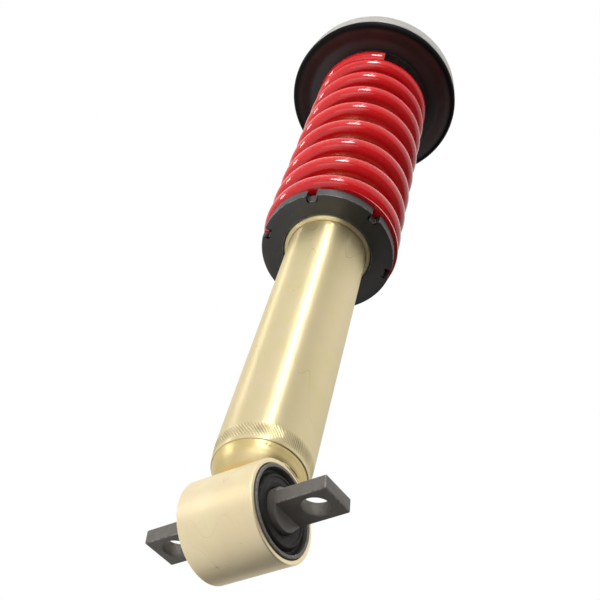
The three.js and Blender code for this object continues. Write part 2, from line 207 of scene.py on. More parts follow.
def make_world():
    world = bpy.data.worlds.new("studio")
    world.use_nodes = True
    tree = world.node_tree
    tree.nodes.clear()
    direction = add_node(tree, "ShaderNodeTexCoord").outputs["Generated"]
    along = add_node(tree, "ShaderNodeSeparateXYZ", {0: direction}).outputs
    compass = maths(tree, "ARCTAN2", along["Y"], along["X"])
    turn = add_node(tree, "ShaderNodeMapRange", {0: compass, 1: -pi, 2: pi}).outputs[0]
    cloth = add_ramp(tree, turn, CLOTH)
    climb = {0: along["Z"], 1: -1.0, 2: 1.0, 3: CLOTH_FOOT, 4: CLOTH_HEAD}
    height = add_node(tree, "ShaderNodeMapRange", climb).outputs[0]
    lit = add_node(tree, "ShaderNodeBackground", {"Color": cloth, "Strength": height})
    seen = add_node(tree, "ShaderNodeBackground", {"Color": (1, 1, 1, 1), "Strength": 1.0})
    to_camera = add_node(tree, "ShaderNodeLightPath").outputs["Is Camera Ray"]
    choice = {0: to_camera, 1: lit.outputs[0], 2: seen.outputs[0]}
    mixed = add_node(tree, "ShaderNodeMixShader", choice)
    add_node(tree, "ShaderNodeOutputWorld", {"Surface": mixed.outputs[0]})
    return world


bpy.context.scene.world = make_world()
bpy.context.scene.view_settings.view_transform = "Standard"
print("world made with", len(CLOTH), "cloth levels")

# %% Hang the soft boxes
def from_direction(azimuth, elevation, distance, centre):
    a, e = radians(azimuth), radians(elevation)
    return centre + distance * Vector((cos(e) * cos(a), cos(e) * sin(a), sin(e)))


def soft_box(name, azimuth, elevation, distance, centre, width, height, watts, grid=180):
    """An area lamp. A grid of fewer degrees in front of it keeps its beam narrow."""
    data = bpy.data.lights.new(name, "AREA")
    data.spread = radians(grid)
    data.shape = "RECTANGLE"
    data.size, data.size_y = width, height
    data.energy = watts
    lamp = bpy.data.objects.new(name, data)
    bpy.context.scene.collection.objects.link(lamp)
    lamp.matrix_world = aim_matrix(from_direction(azimuth, elevation, distance, centre), centre)
    print("%s: %.2f x %.2f m, %.0f W" % (name, width, height, watts))


EYE_MIDDLE, TUBE_MIDDLE, COIL_MIDDLE = Vector((0, 0, 0.03)), Vector((0, 0, 0.16)), Vector((0, 0, 0.41))
soft_box("front window", -57, 8, 1.5, COIL_MIDDLE, 0.44, 0.50, 0.55, grid=30)
soft_box("left window", -130, 4, 1.6, COIL_MIDDLE, 0.20, 0.55, 0.16, grid=30)
soft_box("tall strip", -56, 32, 1.5, TUBE_MIDDLE, 0.07, 1.3, 1.3)
soft_box("low bounce", -62, -12, 1.0, EYE_MIDDLE, 0.9, 0.3, 1.1)

# %% [markdown]
# ## The floor
#
# A plain pale floor lies under the part. The camera looks up from below the eye, so the floor
# is lower still. Its underside is clear, so a view from under it isn't blocked. The flat faces
# that look down mirror this floor, so for them it is a dark card with a light end: that is what
# draws a black part's face from grey on one side to black on the other.

# %% Lay the floor
FLOOR_Z = -0.36
FLOOR_HALF = 4.0
CARD_LIGHT, CARD_DARK = 0.90, 0.12
CARD_FROM, CARD_TO = -0.16, 0.13  # where the card turns from light to dark, along x = y


def make_floor():
    mesh = bpy.data.meshes.new("floor")
    corners = [(-1, -1), (1, -1), (1, 1), (-1, 1)]
    points = [(x * FLOOR_HALF, y * FLOOR_HALF, FLOOR_Z) for x, y in corners]
    mesh.from_pydata(points, [], [(0, 1, 2, 3)])
    made = bpy.data.objects.new("floor", mesh)
    bpy.context.scene.collection.objects.link(made)
    material = bpy.data.materials.new("pale_floor")
    material.use_nodes = True
    tree = material.node_tree
    tree.nodes.clear()
    place = add_node(tree, "ShaderNodeTexCoord").outputs["Object"]
    sideways = {0: place, 1: (sqrt(0.5), sqrt(0.5), 0)}
    along = add_node(tree, "ShaderNodeVectorMath", sideways, operation="DOT_PRODUCT").outputs["Value"]
    fade = {0: along, 1: CARD_FROM, 2: CARD_TO, 3: CARD_LIGHT, 4: CARD_DARK}
    card = add_node(tree, "ShaderNodeMapRange", fade, interpolation_type="SMOOTHSTEP").outputs[0]
    to_camera = add_node(tree, "ShaderNodeLightPath").outputs["Is Camera Ray"]
    shown = mix_colors(tree, to_camera, card, (0.86, 0.86, 0.85, 1))
    paint = add_node(tree, "ShaderNodeBsdfDiffuse", {"Color": shown})
    clear = add_node(tree, "ShaderNodeBsdfTransparent")
    back = add_node(tree, "ShaderNodeNewGeometry").outputs["Backfacing"]
    sides = {0: back, 1: paint.outputs[0], 2: clear.outputs[0]}
    mixed = add_node(tree, "ShaderNodeMixShader", sides)
    add_node(tree, "ShaderNodeOutputMaterial", {"Surface": mixed.outputs[0]})
    mesh.materials.append(material)
    return made


floor = make_floor()
floor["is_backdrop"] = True
print("floor at %.2f m" % FLOOR_Z)

# %% [markdown]
# ## Shared effects
#
# Real finishes share a few effects: a slow change of tint, small dark specks, fine lines left
# by a tool, rare hair scratches, a fine grain, and a coat worn thin along edges, whose paler
# colour there is also a painted edge highlight. Each effect is made once, as a node group with
# named inputs, and each finish uses it with its own values.
# The coordinates are the piece's own, in metres, so a scale of 1000 is a detail of a millimetre.

# %% Helpers for node groups
FLOAT, COLOR, VECTOR = "NodeSocketFloat", "NodeSocketColor", "NodeSocketVector"


def new_group(name, inputs, outputs):
    """Makes a node group. Returns its tree, the sockets coming in and those going out."""
    tree = bpy.data.node_groups.new(name, "ShaderNodeTree")
    for label, kind, value in inputs:
        socket = tree.interface.new_socket(label, in_out="INPUT", socket_type=kind)
        socket.default_value = value
    for label, kind in outputs:
        tree.interface.new_socket(label, in_out="OUTPUT", socket_type=kind)
    given = tree.nodes.new("NodeGroupInput").outputs
    return tree, given, tree.nodes.new("NodeGroupOutput").inputs


def use_group(tree, group, **inputs):
    """Places a group in a material and returns its output."""
    node = tree.nodes.new("ShaderNodeGroup")
    node.node_tree = group
    for key, value in inputs.items():
        socket = node.inputs[key.replace("_", " ").title()]
        if isinstance(value, bpy.types.NodeSocket):
            tree.links.new(value, socket)
        else:
            socket.default_value = value
    return node.outputs[0]


def own_place(tree, scale=None):
    """The piece's own coordinates, multiplied by a scale along each axis."""
    place = add_node(tree, "ShaderNodeTexCoord").outputs["Object"]
    if scale is None:
        return place
    stretch = {0: place, 1: scale}
    return add_node(tree, "ShaderNodeVectorMath", stretch, operation="MULTIPLY").outputs[0]


def noise(tree, place, scale=1.0, detail=2.0, roughness=0.5):
    given = {"Vector": place, "Scale": scale, "Detail": detail, "Roughness": roughness}
    return add_node(tree, "ShaderNodeTexNoise", given).outputs["Fac"]


# %% Cloudy tint, from one colour to another
def make_cloudy_tint():
    inputs = [("First", COLOR, (1, 1, 1, 1)), ("Second", COLOR, (0, 0, 0, 1)),
              ("Scale", FLOAT, 60.0), ("Contrast", FLOAT, 2.0)]
    tree, given, out = new_group("Cloudy Tint", inputs, [("Color", COLOR)])
    cloud = noise(tree, own_place(tree), given["Scale"], 4.0, 0.6)
    spread = maths(tree, "MULTIPLY", maths(tree, "SUBTRACT", cloud, 0.5), given["Contrast"])
    mask = maths(tree, "ADD", spread, 0.5, clamp=True)
    tree.links.new(mix_colors(tree, mask, given["First"], given["Second"]), out["Color"])
    return tree


cloudy_tint = make_cloudy_tint()
print("group:", cloudy_tint.name)

# %% Specks, each in its own cell
def make_specks():
    inputs = [("Scale", FLOAT, 300.0), ("Size", FLOAT, 0.12), ("Share", FLOAT, 0.1)]
    tree, given, out = new_group("Specks", inputs, [("Mask", FLOAT)])
    cells = add_node(tree, "ShaderNodeTexVoronoi", {"Vector": own_place(tree), "Scale": given["Scale"]})
    draw = add_node(tree, "ShaderNodeSeparateColor", {0: cells.outputs["Color"]}).outputs
    chosen = maths(tree, "LESS_THAN", draw[0], given["Share"])
    reach = maths(tree, "MULTIPLY", given["Size"], maths(tree, "ADD", draw[1], 0.4))
    near = add_node(tree, "ShaderNodeMapRange", {0: cells.outputs["Distance"], 1: reach, 2: 0.0})
    tree.links.new(maths(tree, "MULTIPLY", chosen, near.outputs[0]), out["Mask"])
    return tree


specks = make_specks()
print("group:", specks.name)

# %% Tool lines: noise stretched along the way the tool or the part ran
def make_tool_lines():
    tree, given, out = new_group("Tool Lines", [("Scale", VECTOR, (20, 20, 4000))],
                                 [("Height", FLOAT)])
    coarse = noise(tree, own_place(tree, given["Scale"]), 1.0, 3.0, 0.7)
    tree.links.new(coarse, out["Height"])
    return tree


tool_lines = make_tool_lines()
print("group:", tool_lines.name)

# %% Hair scratches: the thin line where a slow noise crosses its middle, in a few places only
HAIR_PATCHES = 110.0  # how closely the places with scratches lie


def make_hair_scratches():
    inputs = [("Scale", VECTOR, (60, 60, 9)), ("Width", FLOAT, 0.004), ("Share", FLOAT, 0.45)]
    tree, given, out = new_group("Hair Scratches", inputs, [("Mask", FLOAT)])
    field = noise(tree, own_place(tree, given["Scale"]), 1.0, 0.0)
    away = maths(tree, "ABSOLUTE", maths(tree, "SUBTRACT", field, 0.5))
    line = add_node(tree, "ShaderNodeMapRange", {0: away, 1: given["Width"], 2: 0.0}).outputs[0]
    patch = noise(tree, own_place(tree), HAIR_PATCHES, 1.0)
    shown = add_node(tree, "ShaderNodeMapRange", {0: patch, 1: given["Share"], 2: 0.3}).outputs[0]
    tree.links.new(maths(tree, "MULTIPLY", line, shown), out["Mask"])
    return tree


hair_scratches = make_hair_scratches()
print("group:", hair_scratches.name)

# %% Grain, for orange peel, castings and rubber
def make_grain():
    inputs = [("Scale", FLOAT, 900.0), ("Detail", FLOAT, 2.0)]
    tree, given, out = new_group("Grain", inputs, [("Height", FLOAT)])
    place = {"Vector": own_place(tree), "Scale": given["Scale"], "Detail": given["Detail"]}
    tree.links.new(add_node(tree, "ShaderNodeTexNoise", place).outputs["Fac"], out["Height"])
    return tree


grain = make_grain()
print("group:", grain.name)

# %% Worn and highlit edges: every rounded outer edge of a piece carries the attribute "edge", and its paler colour is partly worn coat, partly a painted edge highlight
def make_edge_wear_and_highlight():
    inputs = [("Amount", FLOAT, 0.6), ("Scale", FLOAT, 500.0)]
    tree, given, out = new_group("Edge Wear And Highlight", inputs, [("Mask", FLOAT)])
    edge = add_node(tree, "ShaderNodeAttribute", attribute_name="edge").outputs["Fac"]
    patch = add_node(tree, "ShaderNodeMapRange",
                     {0: noise(tree, own_place(tree), given["Scale"], 3.0), 1: 0.38, 2: 0.6})
    rubbed_and_highlit = maths(tree, "MULTIPLY", edge, patch.outputs[0])
    tree.links.new(maths(tree, "MULTIPLY", rubbed_and_highlit, given["Amount"], clamp=True), out["Mask"])
    return tree


edge_wear_and_highlight = make_edge_wear_and_highlight()
print("group:", edge_wear_and_highlight.name)

# %% [markdown]
# ## Finishes
#
# Each finish is one material with a Principled BSDF. A value that is the same everywhere, such
# as how metallic it is or how thick its clear coat is, is set on the shader's own socket. What
# changes over the surface comes from the groups above.

# %% A helper for finishes
def new_finish(name, **fixed):
    """A material with its shader. Names in fixed are the shader's sockets, with _ for a space."""
    material = bpy.data.materials.new(name)
    material.use_nodes = True
    tree = material.node_tree
    shader = tree.nodes["Principled BSDF"]
    for key, value in fixed.items():
        shader.inputs[key.replace("_", " ")].default_value = value
    return material, tree, shader.inputs


def add_bump(tree, sockets, height, depth):
    """Turns a height from 0 to 1 into a bump of that depth, in metres."""
    given = {"Height": height, "Distance": depth, "Strength": 1.0}
    tree.links.new(add_node(tree, "ShaderNodeBump", given).outputs[0], sockets["Normal"])


def spread(tree, value, low, high):
    """Stretches a value that stays near the middle of 0 to 1 over the range from low to high."""
    given = {0: value, 1: 0.3, 2: 0.7, 3: low, 4: high}
    return add_node(tree, "ShaderNodeMapRange", given).outputs[0]


# %% [markdown]
# Yellow zinc plate is a pale gold film on steel. It drifts between straw, green and pink, has
# small dark specks, and shows the fine rings of the ground tube under it. Those rings spread a
# highlight along the tube and keep it narrow across, which is what anisotropy does. The same
# finish serves the tube, which was ground round +Z, and the eye, which was turned round +X; the
# eye's paler cream is painted light, a brighter copy of the straw for its strong lighting. The
# cup between them is a deeper ochre, clouded with olive.

# %% Zinc plate
STRAW, GREENISH, PINKISH = (0.86, 0.73, 0.42, 1), (0.76, 0.67, 0.35, 1), (0.86, 0.70, 0.50, 1)
OCHRE, OLIVE, LIT_CREAM = (0.72, 0.56, 0.22, 1), (0.56, 0.46, 0.17, 1), (0.97, 0.87, 0.62, 1)
ZINC_SPECK_AND_SHADE, ZINC_EDGE_WORN_AND_HIGHLIT = (0.16, 0.13, 0.07, 1), (0.95, 0.85, 0.55, 1)


def make_zinc(name, axis, lines, anisotropic, roughness, bump, first=STRAW, second=GREENISH):
    material, tree, sockets = new_finish(name, Metallic=1.0, Anisotropic=anisotropic,
                                         Anisotropic_Rotation=0.25)
    tint = use_group(tree, cloudy_tint, first=first, second=second, scale=26.0, contrast=1.7)
    bloom = use_group(tree, cloudy_tint, first=(0, 0, 0, 1), second=(1, 1, 1, 1), scale=70.0, contrast=2.6)
    tint = mix_colors(tree, maths(tree, "MULTIPLY", bloom, 0.5), tint, PINKISH)
    dots = use_group(tree, specks, scale=420.0, size=0.2, share=0.03)
    hairs = use_group(tree, hair_scratches, width=0.0016, share=0.74)
    marks = maths(tree, "MULTIPLY", maths(tree, "MAXIMUM", dots, hairs), 0.6)
    tint = mix_colors(tree, marks, tint, ZINC_SPECK_AND_SHADE)
    # Painted shade: the grooves of the roll marks are darkened with the speck colour.
    groove_shade = add_node(tree, "ShaderNodeAttribute", attribute_name="groove").outputs["Fac"]
    tint = mix_colors(tree, maths(tree, "MULTIPLY", groove_shade, 0.7, clamp=True), tint, ZINC_SPECK_AND_SHADE)
    # Paler gold on the edges: partly worn plating, partly a painted edge highlight.
    tint = mix_colors(tree, use_group(tree, edge_wear_and_highlight, amount=0.7), tint, ZINC_EDGE_WORN_AND_HIGHLIT)
    tree.links.new(tint, sockets["Base Color"])
    rings = use_group(tree, tool_lines, scale=lines)
    tree.links.new(spread(tree, rings, roughness - 0.03, roughness + 0.03), sockets["Roughness"])
    add_bump(tree, sockets, rings, bump)
    tangent = add_node(tree, "ShaderNodeTangent", direction_type="RADIAL", axis=axis)
    tree.links.new(tangent.outputs[0], sockets["Tangent"])
    return material


zinc_tube = make_zinc("zinc_tube", "Z", (30, 30, 5200), 0.88, 0.38, 0.0008 * MM)
# The eye's cream is painted light: the same zinc made brighter to stand in for its strong lighting.
zinc_eye = make_zinc("zinc_eye", "X", (2600, 40, 40), 0.2, 0.50, 0.0004 * MM, LIT_CREAM, STRAW)
zinc_cup = make_zinc("zinc_cup", "Z", (30, 30, 3000), 0.3, 0.37, 0.0008 * MM, OCHRE, OLIVE)
print("finishes:", zinc_tube.name, zinc_eye.name, zinc_cup.name)

# %% [markdown]
# The nut and the spring seat are satin black. The nut is a turned part, so its flat face has
# rings round the axis, and its edges are worn to a paler grey, which also paints their
# highlight. The seat is a painted pressing with a soft grain.

# %% Satin black, turned and painted
BLACK, BLACK_WARM, RUBBED_AND_HIGHLIT = (0.012, 0.011, 0.010, 1), (0.020, 0.018, 0.016, 1), (0.26, 0.25, 0.235, 1)
DUST, LIP_BLACK = (0.35, 0.33, 0.30, 1), (0.006, 0.006, 0.006, 1)


def make_black(name, lines, roughness, wear_and_highlight, anisotropic, gloss, lip=1.0):
    """Satin black. Beyond the radius lip, in metres, it turns to a deep black with less gloss."""
    material, tree, sockets = new_finish(name, Anisotropic=anisotropic, Anisotropic_Rotation=0.25)
    tint = use_group(tree, cloudy_tint, first=BLACK, second=BLACK_WARM, scale=45.0, contrast=2.2)
    dust = use_group(tree, specks, scale=520.0, size=0.16, share=0.05)
    tint = mix_colors(tree, maths(tree, "MULTIPLY", dust, 0.5), tint, DUST)
    # Paler grey on the edges: partly worn paint, partly a painted edge highlight.
    tint = mix_colors(tree, use_group(tree, edge_wear_and_highlight, amount=wear_and_highlight), tint, RUBBED_AND_HIGHLIT)
    flat = own_place(tree, (1, 1, 0))
    radius = add_node(tree, "ShaderNodeVectorMath", {0: flat}, operation="LENGTH").outputs["Value"]
    beyond = add_node(tree, "ShaderNodeMapRange", {0: radius, 1: lip, 2: lip + 2.5 * MM}).outputs[0]
    tree.links.new(mix_colors(tree, beyond, tint, LIP_BLACK), sockets["Base Color"])
    sheen = add_node(tree, "ShaderNodeMapRange", {0: beyond, 3: gloss, 4: 0.06}).outputs[0]
    tree.links.new(sheen, sockets["Specular IOR Level"])
    rings = use_group(tree, tool_lines, scale=lines)
    tree.links.new(spread(tree, rings, roughness - 0.06, roughness + 0.06), sockets["Roughness"])
    coat = use_group(tree, grain, scale=1400.0)
    add_bump(tree, sockets, coat, 0.006 * MM)
    tangent = add_node(tree, "ShaderNodeTangent", direction_type="RADIAL", axis="Z")
    tree.links.new(tangent.outputs[0], sockets["Tangent"])
    return material


black_turned = make_black("black_turned", (25, 25, 2400), 0.46, 0.8, 0.5, 0.85)
black_painted = make_black("black_painted", (90, 90, 90), 0.42, 0.15, 0.0, 0.55, lip=62.5 * MM)
print("finishes:", black_turned.name, black_painted.name)

# %% [markdown]
# The spring is powder coated: a deep glossy red with a clear skin and a slight orange peel.
# Powder runs thin on the ground tips, which look paler and rougher; the paler red there is also a painted
# highlight.

# %% Red powder coat
RED, RED_DEEP, RED_THIN_AND_HIGHLIT = (0.62, 0.012, 0.012, 1), (0.54, 0.005, 0.010, 1), (0.70, 0.10, 0.08, 1)


def make_red():
    material, tree, sockets = new_finish("red_powder", Coat_Weight=0.9, Coat_Roughness=0.05,
                                         Specular_IOR_Level=0.1)
    tint = use_group(tree, cloudy_tint, first=RED, second=RED_DEEP, scale=35.0, contrast=2.0)
    # Paler red on the ground tips: partly thin powder, partly a painted highlight.
    tint = mix_colors(tree, use_group(tree, edge_wear_and_highlight, amount=0.6), tint, RED_THIN_AND_HIGHLIT)
    dust = use_group(tree, specks, scale=330.0, size=0.12, share=0.03)
    tint = mix_colors(tree, maths(tree, "MULTIPLY", dust, 0.35), tint, DUST)
    tree.links.new(tint, sockets["Base Color"])
    peel = use_group(tree, grain, scale=420.0, detail=1.0)
    tree.links.new(spread(tree, peel, 0.22, 0.30), sockets["Roughness"])
    add_bump(tree, sockets, peel, 0.0015 * MM)
    return material


red_powder = make_red()
print("finish:", red_powder.name)

# %% [markdown]
# The cross pin is a forging with a dark phosphate skin. The skin is a crust of fine crystals:
# grey, dull and slightly mottled, and paler where an edge is worn, which also paints the edge's highlight.

# %% Phosphate, mount grey, rubber
SKIN, SKIN_DARK, SKIN_RUBBED_AND_HIGHLIT = (0.185, 0.170, 0.150, 1), (0.135, 0.122, 0.108, 1), (0.40, 0.375, 0.34, 1)


def make_phosphate():
    material, tree, sockets = new_finish("phosphate", Metallic=0.35)
    tint = use_group(tree, cloudy_tint, first=SKIN, second=SKIN_DARK, scale=90.0, contrast=2.4)
    # Paler skin on the edges: partly worn skin, partly a painted edge highlight.
    tint = mix_colors(tree, use_group(tree, edge_wear_and_highlight, amount=0.55), tint, SKIN_RUBBED_AND_HIGHLIT)
    tree.links.new(tint, sockets["Base Color"])
    crystals = use_group(tree, grain, scale=1500.0, detail=4.0)
    tree.links.new(spread(tree, crystals, 0.46, 0.60), sockets["Roughness"])
    add_bump(tree, sockets, crystals, 0.02 * MM)
    return material


GREY, GREY_WARM, GREY_CHIP = (0.42, 0.40, 0.37, 1), (0.36, 0.345, 0.315, 1), (0.20, 0.19, 0.175, 1)


def make_mount_grey():
    material, tree, sockets = new_finish("mount_grey", Metallic=0.25)
    tint = use_group(tree, cloudy_tint, first=GREY, second=GREY_WARM, scale=50.0, contrast=2.0)
    dots = use_group(tree, specks, scale=260.0, size=0.16, share=0.08)
    tint = mix_colors(tree, maths(tree, "MULTIPLY", dots, 0.6), tint, GREY_CHIP)
    tree.links.new(tint, sockets["Base Color"])
    coat = use_group(tree, grain, scale=800.0)
    tree.links.new(spread(tree, coat, 0.36, 0.50), sockets["Roughness"])
    add_bump(tree, sockets, coat, 0.01 * MM)
    return material


SOOT, SOOT_BLOOM = (0.012, 0.011, 0.010, 1), (0.038, 0.033, 0.028, 1)


def make_rubber():
    material, tree, sockets = new_finish("black_rubber", Specular_IOR_Level=0.22)
    tint = use_group(tree, cloudy_tint, first=SOOT, second=SOOT_BLOOM, scale=140.0, contrast=2.5)
    chalk = use_group(tree, specks, scale=700.0, size=0.25, share=0.08)
    tint = mix_colors(tree, maths(tree, "MULTIPLY", chalk, 0.35), tint, DUST)
    tree.links.new(tint, sockets["Base Color"])
    pores = use_group(tree, grain, scale=1100.0, detail=4.0)
    tree.links.new(spread(tree, pores, 0.48, 0.68), sockets["Roughness"])
    add_bump(tree, sockets, pores, 0.03 * MM)
    return material


phosphate, mount_grey, black_rubber = make_phosphate(), make_mount_grey(), make_rubber()
print("finishes:", phosphate.name, mount_grey.name, black_rubber.name)

# %% [markdown]
# The rest are plain metals and plastics: hard chrome on the rod, bright zinc on fasteners,
# sintered iron in the damper, a bronze-filled band and the yellow foam of the bump stop. One
# function makes them all, because they differ only in colours and values.

# %% Plain metals, plastic and foam
def make_plain(name, first, second, rough, metallic, pore_scale, depth, lines=None):
    material, tree, sockets = new_finish(name, Metallic=metallic)
    tint = use_group(tree, cloudy_tint, first=(*first, 1), second=(*second, 1), scale=80.0, contrast=2.0)
    # Paler colour on the edges: partly worn surface, partly a painted edge highlight.
    rubbed_and_highlit = (*(min(1, 1.5 * c) for c in first), 1)
    tint = mix_colors(tree, use_group(tree, edge_wear_and_highlight, amount=0.4), tint, rubbed_and_highlit)
    tree.links.new(tint, sockets["Base Color"])
    if lines:
        pattern = use_group(tree, tool_lines, scale=lines)
    else:
        pattern = use_group(tree, grain, scale=pore_scale, detail=3.0)
    tree.links.new(spread(tree, pattern, rough - 0.05, rough + 0.05), sockets["Roughness"])
    add_bump(tree, sockets, pattern, depth)
    return material


ALONG_RINGS = (20, 20, 3000)
chrome = make_plain("hard_chrome", (0.78, 0.79, 0.80), (0.70, 0.71, 0.73), 0.10, 1.0, 0, 0.002 * MM,
                    lines=ALONG_RINGS)
steel = make_plain("bright_steel", (0.62, 0.63, 0.64), (0.50, 0.51, 0.53), 0.30, 1.0, 0, 0.006 * MM,
                   lines=ALONG_RINGS)
iron = make_plain("sintered_iron", (0.20, 0.20, 0.20), (0.14, 0.14, 0.14), 0.50, 0.8, 1800.0, 0.02 * MM)
band = make_plain("bronze_band", (0.20, 0.11, 0.05), (0.14, 0.08, 0.04), 0.55, 0.0, 1500.0, 0.01 * MM)
foam = make_plain("stop_foam", (0.56, 0.44, 0.10), (0.45, 0.34, 0.07), 0.80, 0.0, 900.0, 0.08 * MM)
print("finishes:", chrome.name, steel.name, iron.name, band.name, foam.name)

# %% [markdown]
# ## Turning a piece
#
# Nearly every piece here was turned or drawn round an axis, so one helper does most of the
# work. It takes the corners of half a section, rounds each corner with an arc, and sweeps the
# outline round the axis. Rounded corners matter more than anything else for looks: they catch
# the thin highlight that says an edge is real. Two points are added near the ends of each long
# stretch, so that smooth shading stays flat between the arcs.

# %% Round the corners of an outline
GUARD = 0.5 * MM
ARC_STEPS = 5


def rounded(corners, steps=ARC_STEPS):
    """Corners are (radius, height, fillet). Returns (radius, height, edge) round the outline.
    An outline that starts on the axis is open, and any other one is a closed ring."""
    closed = corners[0][0] > 0
    count = len(corners)
    area = sum(corners[i][0] * corners[(i + 1) % count][1] - corners[(i + 1) % count][0] * corners[i][1]
               for i in range(count))
    points = []
    for i, (r, z, fillet) in enumerate(corners):
        here = Vector((r, z))
        if fillet == 0 or (not closed and i in (0, count - 1)):
            points.append((r, z, 0.0))
            continue
        back = Vector(corners[i - 1][:2]) - here
        ahead = Vector(corners[(i + 1) % count][:2]) - here
        half = back.angle(ahead) / 2
        reach = min(fillet / tan(half), 0.48 * back.length, 0.48 * ahead.length)
        start, end = here + back.normalized() * reach, here + ahead.normalized() * reach
        middle = here + (back.normalized() + ahead.normalized()).normalized() * (reach / cos(half))
        outward = (ahead.x * back.y - ahead.y * back.x) * copysign(1, area) > 0
        for k in range(steps + 1):
            share = k / steps
            spoke = start.lerp(end, share) - middle
            place = middle + spoke.normalized() * (start - middle).length
            points.append((place.x, place.y, sin(pi * share) if outward else 0.0))
    return with_guards(points, closed)


def with_guards(points, closed):
    made = []
    for i, point in enumerate(points):
        made.append(point)
        if i == len(points) - 1 and not closed:
            break
        following = points[(i + 1) % len(points)]
        a, b = Vector(point[:2]), Vector(following[:2])
        if (b - a).length > 5 * GUARD:
            step = (b - a).normalized() * GUARD
            made += [(*(a + step), 0.0), (*(b - step), 0.0)]
    return made


# %% Make a mesh from rows of points
SHARP = radians(38)


def finish_mesh(mesh, edges=None):
    """Faces look outwards, curved areas shade smoothly, and "edge" holds where a coat wears and where a
    painted edge highlight goes.
    """
    work = bmesh.new()
    work.from_mesh(mesh)
    bmesh.ops.recalc_face_normals(work, faces=work.faces)
    work.to_mesh(mesh)
    work.free()
    mesh.polygons.foreach_set("use_smooth", [True] * len(mesh.polygons))
    mesh.set_sharp_from_angle(angle=SHARP)
    if edges is not None:
        mesh.attributes.new("edge", "FLOAT", "POINT").data.foreach_set("value", edges)


def new_piece(name, points, faces, material, edges=None):
    mesh = bpy.data.meshes.new(name)
    mesh.from_pydata([tuple(p) for p in points], [], faces)
    mesh.validate()
    finish_mesh(mesh, edges)
    mesh.materials.append(material)
    piece = bpy.data.objects.new(name, mesh)
    bpy.context.scene.collection.objects.link(piece)
    return piece


def skin_rows(name, rows, material, edges, ring):
    """Joins rows of points, each a closed loop with the same count. With ring, the last row
    meets the first one. Without it, each end is closed by a fan to its middle."""
    count = len(rows[0])
    points = [p for row in rows for p in row]
    weights = [e for e in edges for _ in range(count)]
    faces = []
    for i in range(len(rows) if ring else len(rows) - 1):
        low, high = i * count, ((i + 1) % len(rows)) * count
        for j in range(count):
            k = (j + 1) % count
            faces.append((low + j, low + k, high + k, high + j))
    if not ring:
        for row, base in ((rows[0], 0), (rows[-1], (len(rows) - 1) * count)):
            middle = sum((Vector(p) for p in row), Vector()) / count
            points.append(middle)
            weights.append(0.0)
            tip = len(points) - 1
            faces += [(base + j, base + (j + 1) % count, tip) for j in range(count)]
    return new_piece(name, points, faces, material, weights)


# %% Turn an outline round an axis
def on_axis(along_x, r, turn, h):
    if along_x:
        return Vector((h, r * cos(turn), PIN_Z + r * sin(turn)))
    return Vector((r * cos(turn), r * sin(turn), h))


def turned(name, corners, material, columns=160, along_x=False, reshape=None, outline=None):
    """Sweeps rounded corners, or a ready outline, round +Z, or round the pin's axis."""
    outline = outline or rounded(corners)
    ring = min(r for r, _, _ in outline) > 1e-6
    if not ring:
        outline = [p for p in outline if p[0] > 1e-6]
    rows, edges = [], []
    for r, h, edge in outline:
        row = []
        for j in range(columns):
            turn = 2 * pi * j / columns
            row.append(on_axis(along_x, reshape(turn, r, h) if reshape else r, turn, h))
        rows.append(row)
        edges.append(edge)
    return skin_rows(name, rows, material, edges, ring)


def tube(low, high, inner, outer, fillet):
    """Corners of a plain tube or washer, with the same fillet all round."""
    return [(inner, low, fillet), (outer, low, fillet), (outer, high, fillet), (inner, high, fillet)]


# %% Cut a hole, and seat a piece in the frame
def cut(piece, cutters):
    """Cuts the cutters out of a piece. The result goes into the mesh, so nothing is left on it."""
    for cutter in cutters:
        modifier = piece.modifiers.new("cut", "BOOLEAN")
        modifier.operation = "DIFFERENCE"
        modifier.solver = "EXACT"
        modifier.object = cutter
    bpy.context.view_layer.update()
    shape = bpy.data.meshes.new_from_object(piece.evaluated_get(bpy.context.evaluated_depsgraph_get()))
    piece.modifiers.clear()
    piece.data = shape
    shape.polygons.foreach_set("use_smooth", [True] * len(shape.polygons))
    shape.set_sharp_from_angle(angle=SHARP)
    for cutter in cutters:
        bpy.data.objects.remove(cutter)
    return piece


def seat(piece, body, slot, *nodes):
    """The piece moves with a body and stands for those nodes. The slot is not used."""
    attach(piece, body)
    if nodes:
        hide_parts(*nodes)
    size = piece.dimensions / MM
    print("%-18s %5.1f x %5.1f x %5.1f mm, %d faces"
          % (piece.name, size.x, size.y, size.z, len(piece.data.polygons)))
    return piece


# %% [markdown]
# ## The lower eye
#
# The eye is a short thick ring welded under the damper, with its axis along X. Its rim shows as
# a bright thin ring, so its corners are rounded rather than chamfered.

# %% Turn the eye
EYE_BORE_R = radius_of("bushing_sleeve") + AIR
eye = turned("eye_ring", tube(-EYE_HALF, EYE_HALF, EYE_BORE_R, EYE_R, 0.7 * MM), zinc_eye,
             columns=192, along_x=True)
seat(eye, "damper_body", "zinc_gold", "lower_eye")

# %% [markdown]
# ## The bush
#
# A rubber bush is bonded between a thin steel sleeve and the pin. Its faces are moulded with a
# ridge between two grooves, and the sleeve stands a little proud of the eye. The rubber's
# corners are soft, so its fillets are large.

# %% Turn the sleeve and the rubber
SLEEVE_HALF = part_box("bushing_sleeve")[1].x
SLEEVE_R = radius_of("bushing_sleeve")
SLEEVE_BORE_R = radius_of("bushing_rubber") + AIR
PIN_R = 10.7 * MM
bush_sleeve = turned("bush_sleeve", tube(-SLEEVE_HALF, SLEEVE_HALF, SLEEVE_BORE_R, SLEEVE_R, 0.45 * MM),
                     phosphate, columns=192, along_x=True)
seat(bush_sleeve, "damper_body", "pin_phosphate", "bushing_sleeve")

